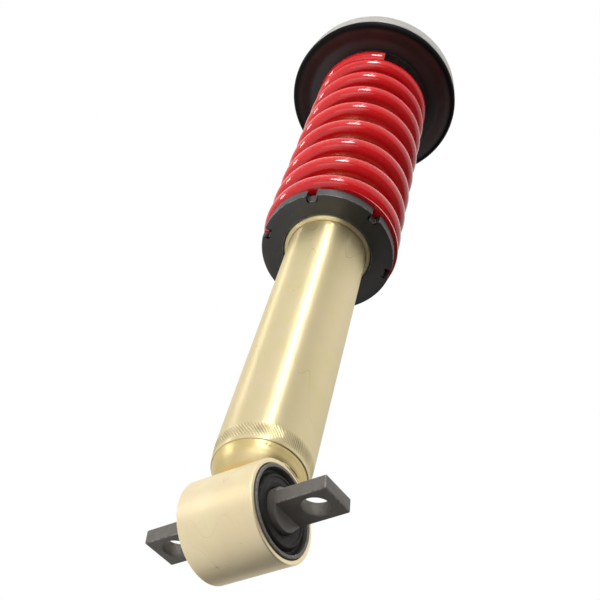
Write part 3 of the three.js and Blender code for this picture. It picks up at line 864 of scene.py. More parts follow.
# Half of the rubber's face, from the pin outwards: (radius, depth below its highest ridge).
BUSH_FACE = ((11.0, 1.4), (12.2, 0.9), (13.2, 0.5), (15.5, 0.6), (16.2, 0.0), (16.9, 0.0),
             (17.5, 0.9), (18.3, 2.4), (19.3, 2.2), (20.1, 0.9))
RIDGE_X = SLEEVE_HALF - 0.6 * MM
face = [(r * MM, RIDGE_X - depth * MM, 0.4 * MM) for r, depth in BUSH_FACE]
bush_rubber = turned("bush_rubber", face + [(r, -x, f) for r, x, f in reversed(face)],
                     black_rubber, columns=160, along_x=True)
seat(bush_rubber, "damper_body", "rubber_black", "bushing_rubber")

# %% [markdown]
# ## The cross pin
#
# The pin is a round forging whose two ends are flat and drilled. Its section is a rounded box
# that is as deep as it is wide in the middle and thin at the ends. Just outside the bush a steep
# shoulder joins the two: over its short run the depth falls, and the section's corners turn from
# a full circle to small fillets. The holes are cut last, with tools that also chamfer their rims.

# %% Forge the cross pin
PIN_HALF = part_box("cross_pin")[1].x
PIN_FLAT = 7.5 * MM
PIN_ROUND = 22.3 * MM
PIN_RUN = 1.8 * MM
PIN_SIDES = 96
PIN_CORNER = 0.9 * MM
# The edge mark on the pin is partly worn skin, partly a painted edge highlight.
PIN_WORN_AND_HIGHLIT = 0.7 * PIN_CORNER  # how far wear reaches in from a corner
PIN_HOLE_X, PIN_HOLE_R = 39 * MM, 6.75 * MM
PIN_SET = radians(11)


def rounded_box(half_width, half_depth, corner):
    """Points round a box with rounded corners, the same count for any shape of it."""
    points = []
    per_corner = PIN_SIDES // 4
    for quarter, (sx, sy) in enumerate(((1, 1), (-1, 1), (-1, -1), (1, -1))):
        centre = Vector((sx * (half_width - corner), sy * (half_depth - corner)))
        for k in range(per_corner):
            turn = pi / 2 * (quarter + k / (per_corner - 1))
            points.append(centre + corner * Vector((cos(turn), sin(turn))))
    return points


def pin_section(x):
    """The section at x: how deep it is falls from the radius to half the flat in a soft S."""
    share = min(1.0, max(0.0, (abs(x) - PIN_ROUND) / PIN_RUN))
    left = 1 - share * share * (3 - 2 * share)
    depth = PIN_FLAT / 2 + (PIN_R - PIN_FLAT / 2) * left
    corner = PIN_CORNER + (PIN_R - PIN_CORNER) * left
    tip = max(0.0, abs(x) - (PIN_HALF - PIN_CORNER)) / PIN_CORNER
    inset = PIN_CORNER * (1 - sqrt(max(0.0, 1 - tip * tip)))
    return rounded_box(PIN_R - inset, depth - inset, max(0.15 * MM, corner - inset)), tip


def forge_pin():
    places = [PIN_HALF - PIN_CORNER * (1 - sin(pi / 2 * k / 5)) for k in range(5, -1, -1)]
    places += [PIN_HALF - 1.5 * MM, 44 * MM, 32 * MM, PIN_ROUND + PIN_RUN + 0.4 * MM]
    places += [PIN_ROUND + PIN_RUN * k / 14 for k in range(14, -1, -1)]
    places += [PIN_ROUND - 1 * MM]
    stations = sorted(set(places))
    stations = [-x for x in reversed(stations)] + stations
    rows, edges = [], []
    for x in stations:
        section, tip = pin_section(x)
        rows.append([Vector((x, p.x, p.y)) for p in section])
        edges.append(sin(pi * tip) if 0 < tip < 1 else 0.0)
    pin = skin_rows("cross_pin_forging", rows, phosphate, edges, ring=False)
    mark_pin_corners(pin)
    return pin


def mark_pin_corners(pin):
    """The long corners of the flats are worn and take the painted edge highlight too, not only their ends."""
    marks = pin.data.attributes["edge"].data
    for vertex in pin.data.vertices:
        x, y, z = vertex.co
        past = abs(x) > PIN_ROUND + PIN_RUN
        near_side = abs(y) > PIN_R - PIN_WORN_AND_HIGHLIT
        near_face = abs(z) > PIN_FLAT / 2 - PIN_WORN_AND_HIGHLIT
        if past and near_side and near_face:
            marks[vertex.index].value = 1.0


def hole_tool(x, radius, half_depth, chamfer):
    reach = half_depth + 3 * MM
    wide = radius + chamfer + 3 * MM
    outline = [(0, -reach, 0.0), (wide, -reach, 0.0), (radius, -half_depth + chamfer, 0.0),
               (radius, half_depth - chamfer, 0.0), (wide, reach, 0.0), (0, reach, 0.0)]
    tool = turned("tool", None, phosphate, columns=96, outline=outline)
    tool.data.transform(Matrix.Translation((x, 0, 0)))
    return tool


cross_pin = forge_pin()
cut(cross_pin, [hole_tool(side * PIN_HOLE_X, PIN_HOLE_R, PIN_FLAT / 2, 0.5 * MM) for side in (-1, 1)])
cross_pin.data.transform(Matrix.Translation((0, 0, PIN_Z)) @ Matrix.Rotation(PIN_SET, 4, "X"))
seat(cross_pin, "pin", "pin_phosphate", "cross_pin")

# %% [markdown]
# ## The damper's tube
#
# The tube is drawn steel. At its lower end a roller has pressed it in over the base cup, which
# leaves a band of close, slanting marks. They are made in the mesh: round the band, the radius
# rises and falls along lines that lean, and the marks fade out at the band's two ends.

# %% Draw the tube and roll its end
ROLL_TOP, ROLL_LOW = TUBE_LOW + 10.6 * MM, TUBE_LOW + 1.6 * MM
ROLL_MARKS, ROLL_LEAN, ROLL_DEPTH = 98, 0.75, 0.5 * MM
TUBE_WALL = 2 * MM
TUBE_COLUMNS = ROLL_MARKS * 9
ROLL_ROWS = 20
ROLL_FOOT_R, FOOT_BORE_R = 24.6 * MM, TUBE_R - 2.7 * MM


def groove_share(turn, z):
    """How deep the roll marks are here, from 0 to 1."""
    if not ROLL_LOW < z < ROLL_TOP:
        return 0.0
    share = (z - ROLL_LOW) / (ROLL_TOP - ROLL_LOW)
    fade = sin(pi * share) ** 0.6
    phase = ROLL_MARKS * (turn + ROLL_LEAN * (z - ROLL_LOW) / TUBE_R)
    unevenness = 0.75 + 0.25 * sin(5 * turn) * sin(11 * turn + 1)
    return fade * unevenness * (0.5 + 0.5 * sin(phase)) ** 1.3


def rolled(turn, r, z):
    outside = r > TUBE_R - TUBE_WALL / 2
    return r - ROLL_DEPTH * groove_share(turn, z) if outside else r


def tube_outline():
    """The foot, then the rolled band in close rows, then the long straight wall."""
    corners = [(FOOT_BORE_R, TUBE_LOW, 0.3 * MM), (ROLL_FOOT_R, TUBE_LOW, 0.5 * MM)]
    for k in range(ROLL_ROWS + 1):
        share = k / ROLL_ROWS
        radius = TUBE_R - (TUBE_R - ROLL_FOOT_R) * (1 - share) ** 1.8
        corners.append((radius, ROLL_LOW + (ROLL_TOP - ROLL_LOW) * share, 0))
    bore = TUBE_R - TUBE_WALL
    corners += [(TUBE_R, TUBE_HIGH, 0.3 * MM), (bore, TUBE_HIGH, 0.3 * MM),
                (bore, TUBE_LOW + 10 * MM, 0.3 * MM), (FOOT_BORE_R, TUBE_LOW + 4 * MM, 0.3 * MM)]
    return rounded(corners)


body_tube = turned("damper_tube", None, zinc_tube, columns=TUBE_COLUMNS, reshape=rolled,
                   outline=tube_outline())
# The groove depth is kept on the tube, and the zinc finish uses it to paint shade into the grooves.
marks = [groove_share(atan2(v.co.y, v.co.x), v.co.z) for v in body_tube.data.vertices]
body_tube.data.attributes.new("groove", "FLOAT", "POINT").data.foreach_set("value", marks)
seat(body_tube, "damper_body", "zinc_gold", "body_tube")

# %% [markdown]
# ## The base cup and its weld
#
# A deep-drawn cup closes the tube and sits on the eye. It bulges below the rolled edge, and two
# small pips from a press tool stand out on its front. A thin weld bead runs round the saddle
# where it meets the eye. The bead is a tube swept along that saddle, and its thickness ripples
# the way a weld does.

# %% Draw the base cup
CUP_TOP, CUP_LOW = TUBE_LOW - 0.04 * MM, ends_of("base_cap")[0]
CUP_R = 23.9 * MM
CUP_OUTER = ((23.7, -1.1), (23.0, -3.0), (22.2, -5.1), (20.8, -7.4), (18.4, -9.9))  # from CUP_TOP
PIPS = ((-48.2, -1.6), (-44.2, -1.9))  # direction in degrees, height from CUP_TOP in mm
PIP_RISE, PIP_WIDE = 0.32 * MM, 0.62 * MM
CUP_HOLE_R, CUP_BORE_R, CUP_SPIGOT = 15 * MM, 22.3 * MM, 9 * MM


def cup_outline():
    """The cup's outside as a smooth line, and a simple inside that the eye and tube hide."""
    corners = [(CUP_HOLE_R, CUP_LOW + 0.2 * MM, 0)]
    corners += [(r * MM, CUP_TOP + h * MM, 0) for r, h in reversed(CUP_OUTER)]
    outer = smooth_line([c[:2] for c in corners] + [(CUP_R, CUP_TOP)], 7)
    line = [(r, z, 0) for r, z in outer[:-1]]
    line += [(CUP_R, CUP_TOP, 0.2 * MM), (CUP_BORE_R, CUP_TOP, 0),
             (CUP_BORE_R, CUP_TOP + CUP_SPIGOT, 0.5 * MM), (CUP_HOLE_R, CUP_TOP + CUP_SPIGOT, 0.5 * MM)]
    return rounded(line, steps=3)


def smooth_line(points, pieces):
    """A smooth line through the points, by Catmull and Rom's rule."""
    ends = [points[0], *points, points[-1]]
    line = []
    for a, b, c, d in zip(ends, ends[1:], ends[2:], ends[3:]):
        for k in range(pieces):
            t = k / pieces
            weights = (-t + 2 * t * t - t ** 3, 2 - 5 * t * t + 3 * t ** 3,
                       t + 4 * t * t - 3 * t ** 3, -t * t + t ** 3)
            line.append(tuple(sum(w * p[i] for w, p in zip(weights, (a, b, c, d))) / 2 for i in (0, 1)))
    return [*line, points[-1]]


def with_pips(turn, r, z):
    if r < 22.4 * MM:
        return r
    rise = 0.0
    for degrees, drop in PIPS:
        across = r * sin(turn - radians(degrees))
        up = z - (CUP_TOP + drop * MM)
        if cos(turn - radians(degrees)) > 0:
            rise += exp(-(across ** 2 + up ** 2) / (PIP_WIDE / 1.6) ** 2)
    return r + PIP_RISE * rise


def saddle_tool():
    """A round bar with the eye's radius and a little air, to cut the cup's underside."""
    reach = 1.5 * EYE_HALF
    radius = EYE_R + AIR
    outline = [(0, -reach, 0.0), (radius, -reach, 0.0), (radius, reach, 0.0), (0, reach, 0.0)]
    return turned("tool", None, zinc_eye, columns=192, along_x=True, outline=outline)


base_cup = turned("base_cup", None, zinc_cup, columns=420, reshape=with_pips, outline=cup_outline())
cut(base_cup, [saddle_tool()])
seat(base_cup, "damper_body", "zinc_gold", "base_cap")

# %% Run the weld bead round the saddle
WELD_R = 0.95 * MM
WELD_STEPS, WELD_SIDES = 420, 14


def saddle_point(turn):
    """Where the cup's outside meets the eye in this direction, found by halving."""
    table = [(r * MM, CUP_TOP + h * MM) for r, h in CUP_OUTER]
    near, far = 14 * MM, CUP_R
    for _ in range(40):
        r = (near + far) / 2
        across = r * sin(turn)
        eye_top = PIN_Z + sqrt(max(0.0, EYE_R ** 2 - across ** 2))
        cup_bottom = cup_height(r, table)
        near, far = (r, far) if cup_bottom < eye_top else (near, r)
    x = max(-EYE_HALF + 0.6 * MM, min(EYE_HALF - 0.6 * MM, r * cos(turn)))
    return Vector((x, across, eye_top))


def cup_height(r, table):
    """Height of the cup's outside at a radius, from its drawn points."""
    if r <= table[-1][0]:
        return table[-1][1] - (table[-1][0] - r) * 0.5
    for (r1, z1), (r2, z2) in zip(table, table[1:]):
        if r >= r2:
            return z2 + (z1 - z2) * min(1.0, (r - r2) / (r1 - r2))
    return table[0][1]


def run_weld():
    path = [saddle_point(2 * pi * i / WELD_STEPS) for i in range(WELD_STEPS)]
    rows = []
    for i, point in enumerate(path):
        along = (path[(i + 2) % WELD_STEPS] - path[i - 2]).normalized()
        side = along.cross(Vector((0, 0, 1))).normalized()
        up = side.cross(along)
        ripple = 1 + 0.10 * sin(2 * pi * i / 5.0) + 0.07 * sin(i * 0.37 + 1) * sin(i * 0.083)
        radius = WELD_R * ripple
        rows.append([point + radius * (cos(t) * side + 0.8 * sin(t) * up)
                     for t in (2 * pi * j / WELD_SIDES for j in range(WELD_SIDES))])
    return skin_rows("eye_weld", rows, zinc_eye, [0.0] * WELD_STEPS, ring=True)


seat(run_weld(), "damper_body", "zinc_gold")

# %% [markdown]
# ## The threaded sleeve and the gland cap
#
# A sleeve with a fine thread is pressed on the tube, and the perch nut runs on it. The thread is
# real: the radius of each point depends on how far it is along the helix, so the ridges rise to
# the right as they turn. The first and last turns run out into a chamfer.

# %% Cut the sleeve's thread
PITCH = 2 * MM
ROWS_PER_PITCH = 8


def ridge(share):
    """A thread's section over one pitch: flat crests, sloping sides and narrow roots."""
    wave = abs(2 * (share % 1.0) - 1)
    return min(1.0, max(0.0, (wave - 0.12) / 0.55))


def thread_maker(crest, depth, low, high, pitch, ends):
    def reshape(turn, r, z):
        if r < crest - depth - 0.01 * MM:
            return r
        near_end = min(z - low, high - z)
        limit = crest - max(0.0, ends - near_end)
        threaded = crest - depth * ridge(z / pitch - turn / (2 * pi))
        return min(threaded, limit)
    return reshape


def thread_rows(crest, low, high, pitch):
    """Points close enough along a thread to show each of its turns."""
    rows = ceil((high - low) / pitch * ROWS_PER_PITCH)
    return [(crest, low + (high - low) * k / rows, 0.0) for k in range(rows + 1)]


def end_thread_maker(crest, depth, start, high, pitch, ends):
    """A thread on the upper end only, from start. It runs out at the tip and not at its foot."""
    cutter = thread_maker(crest, depth, start - 1, high, pitch, ends)

    def reshape(turn, r, z):
        return cutter(turn, r, z) if z > start and r <= crest else r
    return reshape


SLEEVE_LOW, SLEEVE_HIGH = ends_of("threaded_sleeve")
THREAD_R, SLEEVE_BORE = radius_of("threaded_sleeve"), TUBE_R + AIR
sleeve = turned("thread_sleeve", None, zinc_tube, columns=120,
                reshape=thread_maker(THREAD_R, 1.0 * MM, SLEEVE_LOW, SLEEVE_HIGH, PITCH, 1.3 * MM),
                outline=[(SLEEVE_BORE, SLEEVE_LOW, 0.0),
                         *thread_rows(THREAD_R, SLEEVE_LOW, SLEEVE_HIGH, PITCH),
                         (SLEEVE_BORE, SLEEVE_HIGH, 0.0)])
seat(sleeve, "damper_body", "zinc_gold", "threaded_sleeve")

# %% Press on the gland cap
GLAND_LOW, GLAND_HIGH = ends_of("gland_cap")
GLAND_R = radius_of("gland_cap")
GLAND_HOLE_R, GLAND_SINK_R, GLAND_SINK_Z = 9 * MM, 11 * MM, GLAND_HIGH - 1.5 * MM
gland_corners = [(GLAND_HOLE_R, TUBE_HIGH + AIR, 0), (TUBE_R + AIR, TUBE_HIGH + AIR, 0),
                 (TUBE_R + AIR, GLAND_LOW, 0.2 * MM), (GLAND_R, GLAND_LOW, 0.4 * MM),
                 (GLAND_R, GLAND_HIGH, 1.6 * MM), (GLAND_SINK_R, GLAND_HIGH, 0.8 * MM),
                 (GLAND_SINK_R, GLAND_SINK_Z, 0.3 * MM), (GLAND_HOLE_R, GLAND_SINK_Z, 0.3 * MM)]
gland = turned("gland_cover", gland_corners, zinc_tube, columns=160)
seat(gland, "damper_body", "zinc_gold", "gland_cap")

# %% [markdown]
# ## The perch nut
#
# The nut is a flat ring with a low hub, and six slots for a hook spanner are milled through its
# rim. Its outline is drawn as a list of points with the slots in it. Each height then gets its
# own copy of that outline, set in a little at the top and bottom, which makes the chamfers. A
# boolean would leave ragged corners at the slots, and these rows of points don't.

# %% Draw the nut's outline
SLOTS, SLOT_START = 6, radians(-13)
SLOT_HALF, SLOT_DEPTH = 3.2 * MM, 4.2 * MM
SLOT_CORNER = 0.35 * MM
RIM_POINTS = 26
SLOT_REACH = radians(5.9)


def slot_points(centre):
    """The slot's points from one rim corner to the other, as (point, spread from -1 to 1)."""
    floor_x = NUT_R - SLOT_DEPTH
    rim_x = sqrt(NUT_R ** 2 - SLOT_HALF ** 2)
    half = []
    for k in range(4):
        turn = pi / 2 * k / 3
        half.append((rim_x - SLOT_CORNER * (1 - cos(turn)), SLOT_HALF + SLOT_CORNER * (1 - sin(turn))))
    half += [(rim_x - 1.2 * MM, SLOT_HALF), (floor_x + 1.2 * MM, SLOT_HALF), (floor_x + 0.3 * MM, SLOT_HALF)]
    half += [(floor_x, SLOT_HALF - 0.3 * MM), (floor_x, SLOT_HALF - 1.0 * MM)]
    line = [(x, -y) for x, y in half] + list(reversed(half))
    points = []
    for i, (x, y) in enumerate(line):
        share = 2 * i / (len(line) - 1) - 1
        turned_point = Vector((x * cos(centre) - y * sin(centre), x * sin(centre) + y * cos(centre)))
        points.append((turned_point, centre + share * SLOT_REACH * 0.97))
    return points


def nut_outline():
    """Points round the rim with its slots, each with the angle that it has on inner rings."""
    points = []
    for i in range(SLOTS):
        centre = SLOT_START + 2 * pi * i / SLOTS
        points += slot_points(centre)
        start, end = centre + SLOT_REACH * 1.1, centre + 2 * pi / SLOTS - SLOT_REACH * 1.1
        for k in range(RIM_POINTS):
            turn = start + (end - start) * k / (RIM_POINTS - 1)
            points.append((Vector((NUT_R * cos(turn), NUT_R * sin(turn))), turn))
    return points


def set_in(points, distance):
    """Moves a closed outline inwards by a distance, along each corner's own bisector."""
    moved = []
    for i, point in enumerate(points):
        before = (point - points[i - 1]).normalized()
        after = (points[(i + 1) % len(points)] - point).normalized()
        n1, n2 = Vector((-before.y, before.x)), Vector((-after.y, after.x))
        bisector = (n1 + n2).normalized()
        moved.append(point + bisector * distance / max(0.5, bisector.dot(n1)))
    return moved


# %% Build the nut from its rows
NUT_HUB_R, NUT_HUB_Z = 30.6 * MM, NUT_HIGH
NUT_BORE_R = THREAD_R + AIR
NUT_FACE_Z = NUT_LOW + 8 * MM  # the rim's upper face, with a recess in it for the washer
NUT_RECESS_R, NUT_RECESS_Z = 37.8 * MM, NUT_LOW + 6.6 * MM
NUT_EDGE = 0.45 * MM
LOCK_DEG = radians(137)


def build_nut():
    drawn = nut_outline()
    outline, angles = [p for p, _ in drawn], [a for _, a in drawn]

    def ring_at(radius, z):
        return [Vector((radius * cos(a), radius * sin(a), z)) for a in angles]

    def rim_at(inset, z):
        return [Vector((p.x, p.y, z)) for p in set_in(outline, inset)]

    inside = NUT_R - SLOT_DEPTH - 0.7 * MM
    rows = [(ring_at(NUT_BORE_R, NUT_LOW + 0.6 * MM), 0), (ring_at(NUT_BORE_R + 0.6 * MM, NUT_LOW), 0.7),
            (ring_at(NUT_BORE_R + 1.1 * MM, NUT_LOW), 0), (ring_at(inside, NUT_LOW), 0)]
    turns = [pi / 2 * k / 4 for k in range(5)]
    arc = [(NUT_EDGE * (1 - sin(t)), NUT_EDGE * (1 - cos(t)), sin(2 * t)) for t in turns]
    rows += [(rim_at(inset, NUT_LOW + up), edge) for inset, up, edge in arc]
    rows += [(rim_at(0, NUT_LOW + NUT_EDGE + GUARD), 0), (rim_at(0, NUT_FACE_Z - NUT_EDGE - GUARD), 0)]
    rows += [(rim_at(inset, NUT_FACE_Z - up), edge) for inset, up, edge in reversed(arc)]
    rows += [(ring_at(inside, NUT_FACE_Z), 0), (ring_at(NUT_RECESS_R, NUT_FACE_Z), 0.5),
             (ring_at(NUT_RECESS_R, NUT_RECESS_Z), 0), (ring_at(NUT_HUB_R + 0.4 * MM, NUT_RECESS_Z), 0)]
    for r, z, edge in rounded([(NUT_HUB_R, NUT_RECESS_Z, 0), (NUT_HUB_R, NUT_HUB_Z, 0.8 * MM),
                               (NUT_BORE_R, NUT_HUB_Z, 0.5 * MM), (NUT_BORE_R, NUT_FACE_Z, 0)])[:-2]:
        rows.append((ring_at(r, z), edge))
    sections, edges = [row for row, _ in rows], [edge for _, edge in rows]
    return skin_rows("perch_nut_body", sections, black_turned, edges, ring=True)


def radial_bar(name, radius, start, end, columns=48, sides=None):
    """A round bar along the lock screw's radius, or a hexagonal one with sides=6."""
    outline = [(0, start, 0.0), (radius, start, 0.0), (radius, end, 0.0), (0, end, 0.0)]
    bar = turned(name, None, steel, columns=sides or columns, outline=outline)
    lay = Matrix.Rotation(LOCK_DEG, 4, "Z") @ Matrix.Rotation(pi / 2, 4, "Y")
    bar.data.transform(Matrix.Translation((0, 0, (NUT_LOW + NUT_FACE_Z) / 2)) @ lay)
    return bar


LOCK_R, SOCKET_R, SOCKET_DEEP = 2.2 * MM, 1.25 * MM, 2.4 * MM
perch_nut = cut(build_nut(), [radial_bar("tool", LOCK_R + AIR, NUT_BORE_R - 2 * MM, NUT_R + 2 * MM)])
seat(perch_nut, "nut", "satin_black", "perch_nut")

# %% Fit the lock screw, with its hexagonal socket
LOCK_END = NUT_R - 1 * MM
lock_screw = radial_bar("lock_grub", LOCK_R, NUT_BORE_R + 0.8 * MM, LOCK_END)
cut(lock_screw, [radial_bar("tool", SOCKET_R, LOCK_END - SOCKET_DEEP, LOCK_END + 1 * MM, sides=6)])
seat(lock_screw, "nut", "bare_steel", "lock_screw")

# %% Lay the washer under the spring
WASHER_LOW, WASHER_HIGH = ends_of("perch_seat")
washer_in, washer_out = NUT_HUB_R + AIR, radius_of("perch_seat")
washer = turned("perch_washer", tube(WASHER_LOW, WASHER_HIGH, washer_in, washer_out, 0.3 * MM),
                black_painted)
seat(washer, "perch", "satin_black", "perch_seat")

# %% [markdown]
# ## The spring
#
# The spring is a round wire wound nine turns. It lies close at both ends and open between, and
# both ends are ground flat, so the wire's tip is thin. A swept curve can't be ground, so each
# section is made here point by point: two side arcs, and a top and a bottom that stop at the
# ground planes. The same count of points for every section keeps the skin clean.
#
# When the damper is pushed in, each turn would move down by its own share, so each section gets
# one weight between the body below and the body above.

# %% Wind the spring
WIRE_R = 7 * MM
COIL_R = radius_of("coil_spring") - WIRE_R
COIL_TURNS = 9.02
COIL_START = radians(-54.3)
TIP_LOW, TIP_HIGH = SPRING_LOW - 2.1 * MM, SPRING_HIGH - 3.0 * MM  # the wire's centre at its tips
CLOSED_PITCH = 15.5 * MM
SECTIONS_PER_TURN = 84
SIDE_POINTS, CAP_POINTS = 11, 7
TIP_ROUND = 0.6 * MM


def wire_height(t):
    """Height of the wire's centre after t turns."""
    opened = COIL_TURNS - 2
    rise = TIP_HIGH - TIP_LOW - 2 * CLOSED_PITCH
    middle = min(max(t - 1, 0.0), opened)
    soft = sin(2 * pi * middle / opened) / (2 * pi * opened)
    return TIP_LOW + CLOSED_PITCH * (t - middle) + rise * (middle / opened - 0.5 * soft)


def wire_section(centre_z, radius):
    """Points (outward, up) round the wire, with its top and bottom ground at the two planes."""
    steepest = radians(60)
    lowest = max(asin(max(-1, (SPRING_LOW - centre_z) / radius)), -steepest)
    highest = min(asin(min(1, (SPRING_HIGH - centre_z) / radius)), steepest)
    arc = [lowest + (highest - lowest) * k / (SIDE_POINTS - 1) for k in range(SIDE_POINTS)]
    right = [(radius * cos(a), radius * sin(a)) for a in arc]
    top, bottom = [], []
    for k in range(1, CAP_POINTS + 1):
        sweep = cos(pi * k / (CAP_POINTS + 1))
        x = radius * cos(highest) * sweep
        top.append((x, min(sqrt(radius ** 2 - x ** 2), SPRING_HIGH - centre_z)))
        x = -radius * cos(lowest) * sweep
        bottom.append((x, max(-sqrt(radius ** 2 - x ** 2), SPRING_LOW - centre_z)))
    left = [(-x, y) for x, y in reversed(right)]
    return right + top + left + bottom


def wind_spring():
    count = round(SECTIONS_PER_TURN * COIL_TURNS)
    stations = [(COIL_TURNS * i / count, 0.0) for i in range(count + 1)]
    turn_length = 2 * pi * COIL_R
    nip = [(TIP_ROUND * (1 - sin(a)), TIP_ROUND * (1 - cos(a))) for a in (pi / 2 * k / 4 for k in range(5))]
    start = [(along / turn_length, inset) for inset, along in reversed(nip)]
    end = [(COIL_TURNS - along / turn_length, inset) for inset, along in nip]
    stations = sorted(start + stations[1:-1] + end)
    rows, edges, weights = [], [], []
    for t, inset in stations:
        turn = COIL_START + 2 * pi * t
        z = wire_height(t)
        section = wire_section(z, WIRE_R - inset)
        rows.append([Vector(((COIL_R + x) * cos(turn), (COIL_R + x) * sin(turn), z + y)) for x, y in section])
        ground = max(0.0, 1 - min(t, COIL_TURNS - t) / 0.025)
        edges.append(min(1.0, 2 * ground))
        share = min(1.0, max(0.0, (t - 0.9) / (COIL_TURNS - 1.8)))
        weights += [share] * len(section)
    spring = skin_rows("spring_coil", rows, red_powder, edges, ring=False)
    return spring, [*weights, weights[0], weights[-1]]


spring, spring_shares = wind_spring()
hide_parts("coil_spring")
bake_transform(spring)
print("spring:", len(spring.data.polygons), "faces,", "%.1f mm high" % (spring.dimensions.z / MM))

# %% [markdown]
# ## The upper seat
#
# The spring pushes on a rubber ring in a pressed dish. The dish is flat, then its rim dips a
# little and ends in a thick rounded edge, which is a deeper black than the face.

# %% Press the upper seat
BEAD_R = 3.4 * MM
SEAT_SKIN = 3 * MM
SEAT_FACE = SEAT_LOW + 3.2 * MM  # the flat underside; the rim dips below it
SEAT_BORE_R, SEAT_FLAT_R = 21 * MM, 54 * MM
DIP_R, DIP = 60.6 * MM, 2.2 * MM


def bead_arc(start, end, steps):
    centre_r, centre_z = SEAT_R - BEAD_R, SEAT_LOW + BEAD_R
    angles = [radians(start + (end - start) * k / steps) for k in range(steps + 1)]
    return [(centre_r + BEAD_R * cos(a), centre_z + BEAD_R * sin(a), 0) for a in angles]


seat_top = SEAT_FACE + SEAT_SKIN
dish = turned("upper_dish", [(SEAT_BORE_R, SEAT_FACE, 0.6 * MM), (SEAT_FLAT_R, SEAT_FACE, 12 * MM),
                             (DIP_R, SEAT_FACE - DIP, 6 * MM), *bead_arc(262, 440, 18),
                             (61 * MM, seat_top, 0), (SEAT_BORE_R, seat_top, 0.6 * MM)],
              black_painted, columns=240)
seat(dish, "upper", "satin_black", "upper_seat")

ISOLATOR_LOW, ISOLATOR_HIGH = ends_of("spring_isolator")
ISOLATOR_BORE_R, ISOLATOR_R = 31.5 * MM, radius_of("spring_isolator")
isolator_corners = tube(ISOLATOR_LOW, ISOLATOR_HIGH, ISOLATOR_BORE_R, ISOLATOR_R, 0.7 * MM)
isolator = turned("isolator_ring", isolator_corners, black_rubber)
seat(isolator, "upper", "rubber_black", "spring_isolator")

# %% [markdown]
# ## The bump stop
#
# A foam bellows sits in a steel cup at the top of the rod and takes the last of the stroke. It
# is soft: as the damper closes it flattens towards its cup.

# %% Foam the bump stop and press its cup
STOP_LOW, STOP_HIGH = ends_of("bump_stop")
ROD_R = 7.95 * MM
STOP_BORE = ROD_R + 1 * MM
STOP_WAVES = ((10.6, 0.0, 1.5), (13.4, 3.0, 2.2), (13.4, 9.0, 2.4), (11.3, 13.2, 1.2), (13.6, 17.0, 2.0),
              (16.8, 21.6, 2.4), (16.8, 36.0, 0.8))
stop = turned("stop_foam", [(STOP_BORE, STOP_LOW, 0.8 * MM),
                            *((r * MM, STOP_LOW + h * MM, f * MM) for r, h, f in STOP_WAVES),
                            (STOP_BORE, STOP_HIGH, 0.5 * MM)], foam, columns=96)
seat(stop, "upper", "stop_foam", "bump_stop")
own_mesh(stop)

CUP_FOOT, CUP_HEAD = ends_of("bump_cup")
CUP_IN_R, CUP_OUT_R, COLLAR_R = 17.1 * MM, 18.6 * MM, 20.6 * MM
stop_cup_corners = [(STOP_BORE, CUP_HEAD, 0.4 * MM), (STOP_BORE, STOP_HIGH + AIR, 0.3 * MM),
                    (CUP_IN_R, STOP_HIGH + AIR, 1.0 * MM), (CUP_IN_R, CUP_FOOT, 0.4 * MM),
                    (CUP_OUT_R, CUP_FOOT, 0.5 * MM), (CUP_OUT_R, STOP_HIGH - 1 * MM, 2 * MM),
                    (COLLAR_R, STOP_HIGH + 1.6 * MM, 1 * MM), (COLLAR_R, CUP_HEAD, 0.5 * MM)]
stop_cup = turned("stop_cup", stop_cup_corners, steel, columns=96)
seat(stop_cup, "upper", "bare_steel", "bump_cup")

# %% [markdown]
# ## The upper mount
#
# A pale painted cup covers the mount's rubber. Its wall has one fine step, and its top has a
# shallow recess for the stem's rubber and three holes for the studs that bolt it to the truck.

# %% Press the mount's cup
WALL = 3 * MM
STEP_Z, STEP_R = MOUNT_LOW + 6.3 * MM, MOUNT_R - 0.9 * MM
RECESS_R, RECESS_Z = 24 * MM, MOUNT_HIGH - 0.8 * MM
STUD_RING, STUD_R = 50 * MM, 5 * MM
MOUNT_BORE_R, CEILING = 12 * MM, MOUNT_HIGH - WALL
mount_corners = [(MOUNT_BORE_R, CEILING, 0.3 * MM), (STEP_R - WALL, CEILING, 2 * MM),
                 (STEP_R - WALL, MOUNT_LOW, 0.5 * MM), (MOUNT_R, MOUNT_LOW, 0.7 * MM),
                 (MOUNT_R, STEP_Z, 0.5 * MM), (STEP_R, STEP_Z + 0.7 * MM, 0.4 * MM),
                 (STEP_R, MOUNT_HIGH, 0.9 * MM), (RECESS_R + 0.6 * MM, MOUNT_HIGH, 0.5 * MM),
                 (RECESS_R, RECESS_Z, 0.4 * MM), (MOUNT_BORE_R, RECESS_Z, 0.4 * MM)]
mount = turned("mount_cover", mount_corners, mount_grey, columns=240)


def stud_places():
    return [(STUD_RING * cos(a), STUD_RING * sin(a)) for a in (radians(90 + 120 * i) for i in range(3))]


def stud_hole(place):
    outline = [(0, MOUNT_HIGH - 2 * WALL, 0.0), (STUD_R + 0.3 * MM, MOUNT_HIGH - 2 * WALL, 0.0),
               (STUD_R + 0.3 * MM, MOUNT_HIGH - 0.5 * MM, 0.0), (STUD_R + 2.8 * MM, MOUNT_HIGH + 2 * MM, 0.0),
               (0, MOUNT_HIGH + 2 * MM, 0.0)]
    tool = turned("tool", None, mount_grey, columns=64, outline=outline)
    tool.data.transform(Matrix.Translation((*place, 0)))
    return tool


cut(mount, [stud_hole(place) for place in stud_places()])
seat(mount, "strut_top", "mount_grey", "mount_plate")

# %% Cut the studs, with their own thread
STUD_PITCH, HEAD_R, HEAD_TALL = 1.5 * MM, 8 * MM, 3.4 * MM


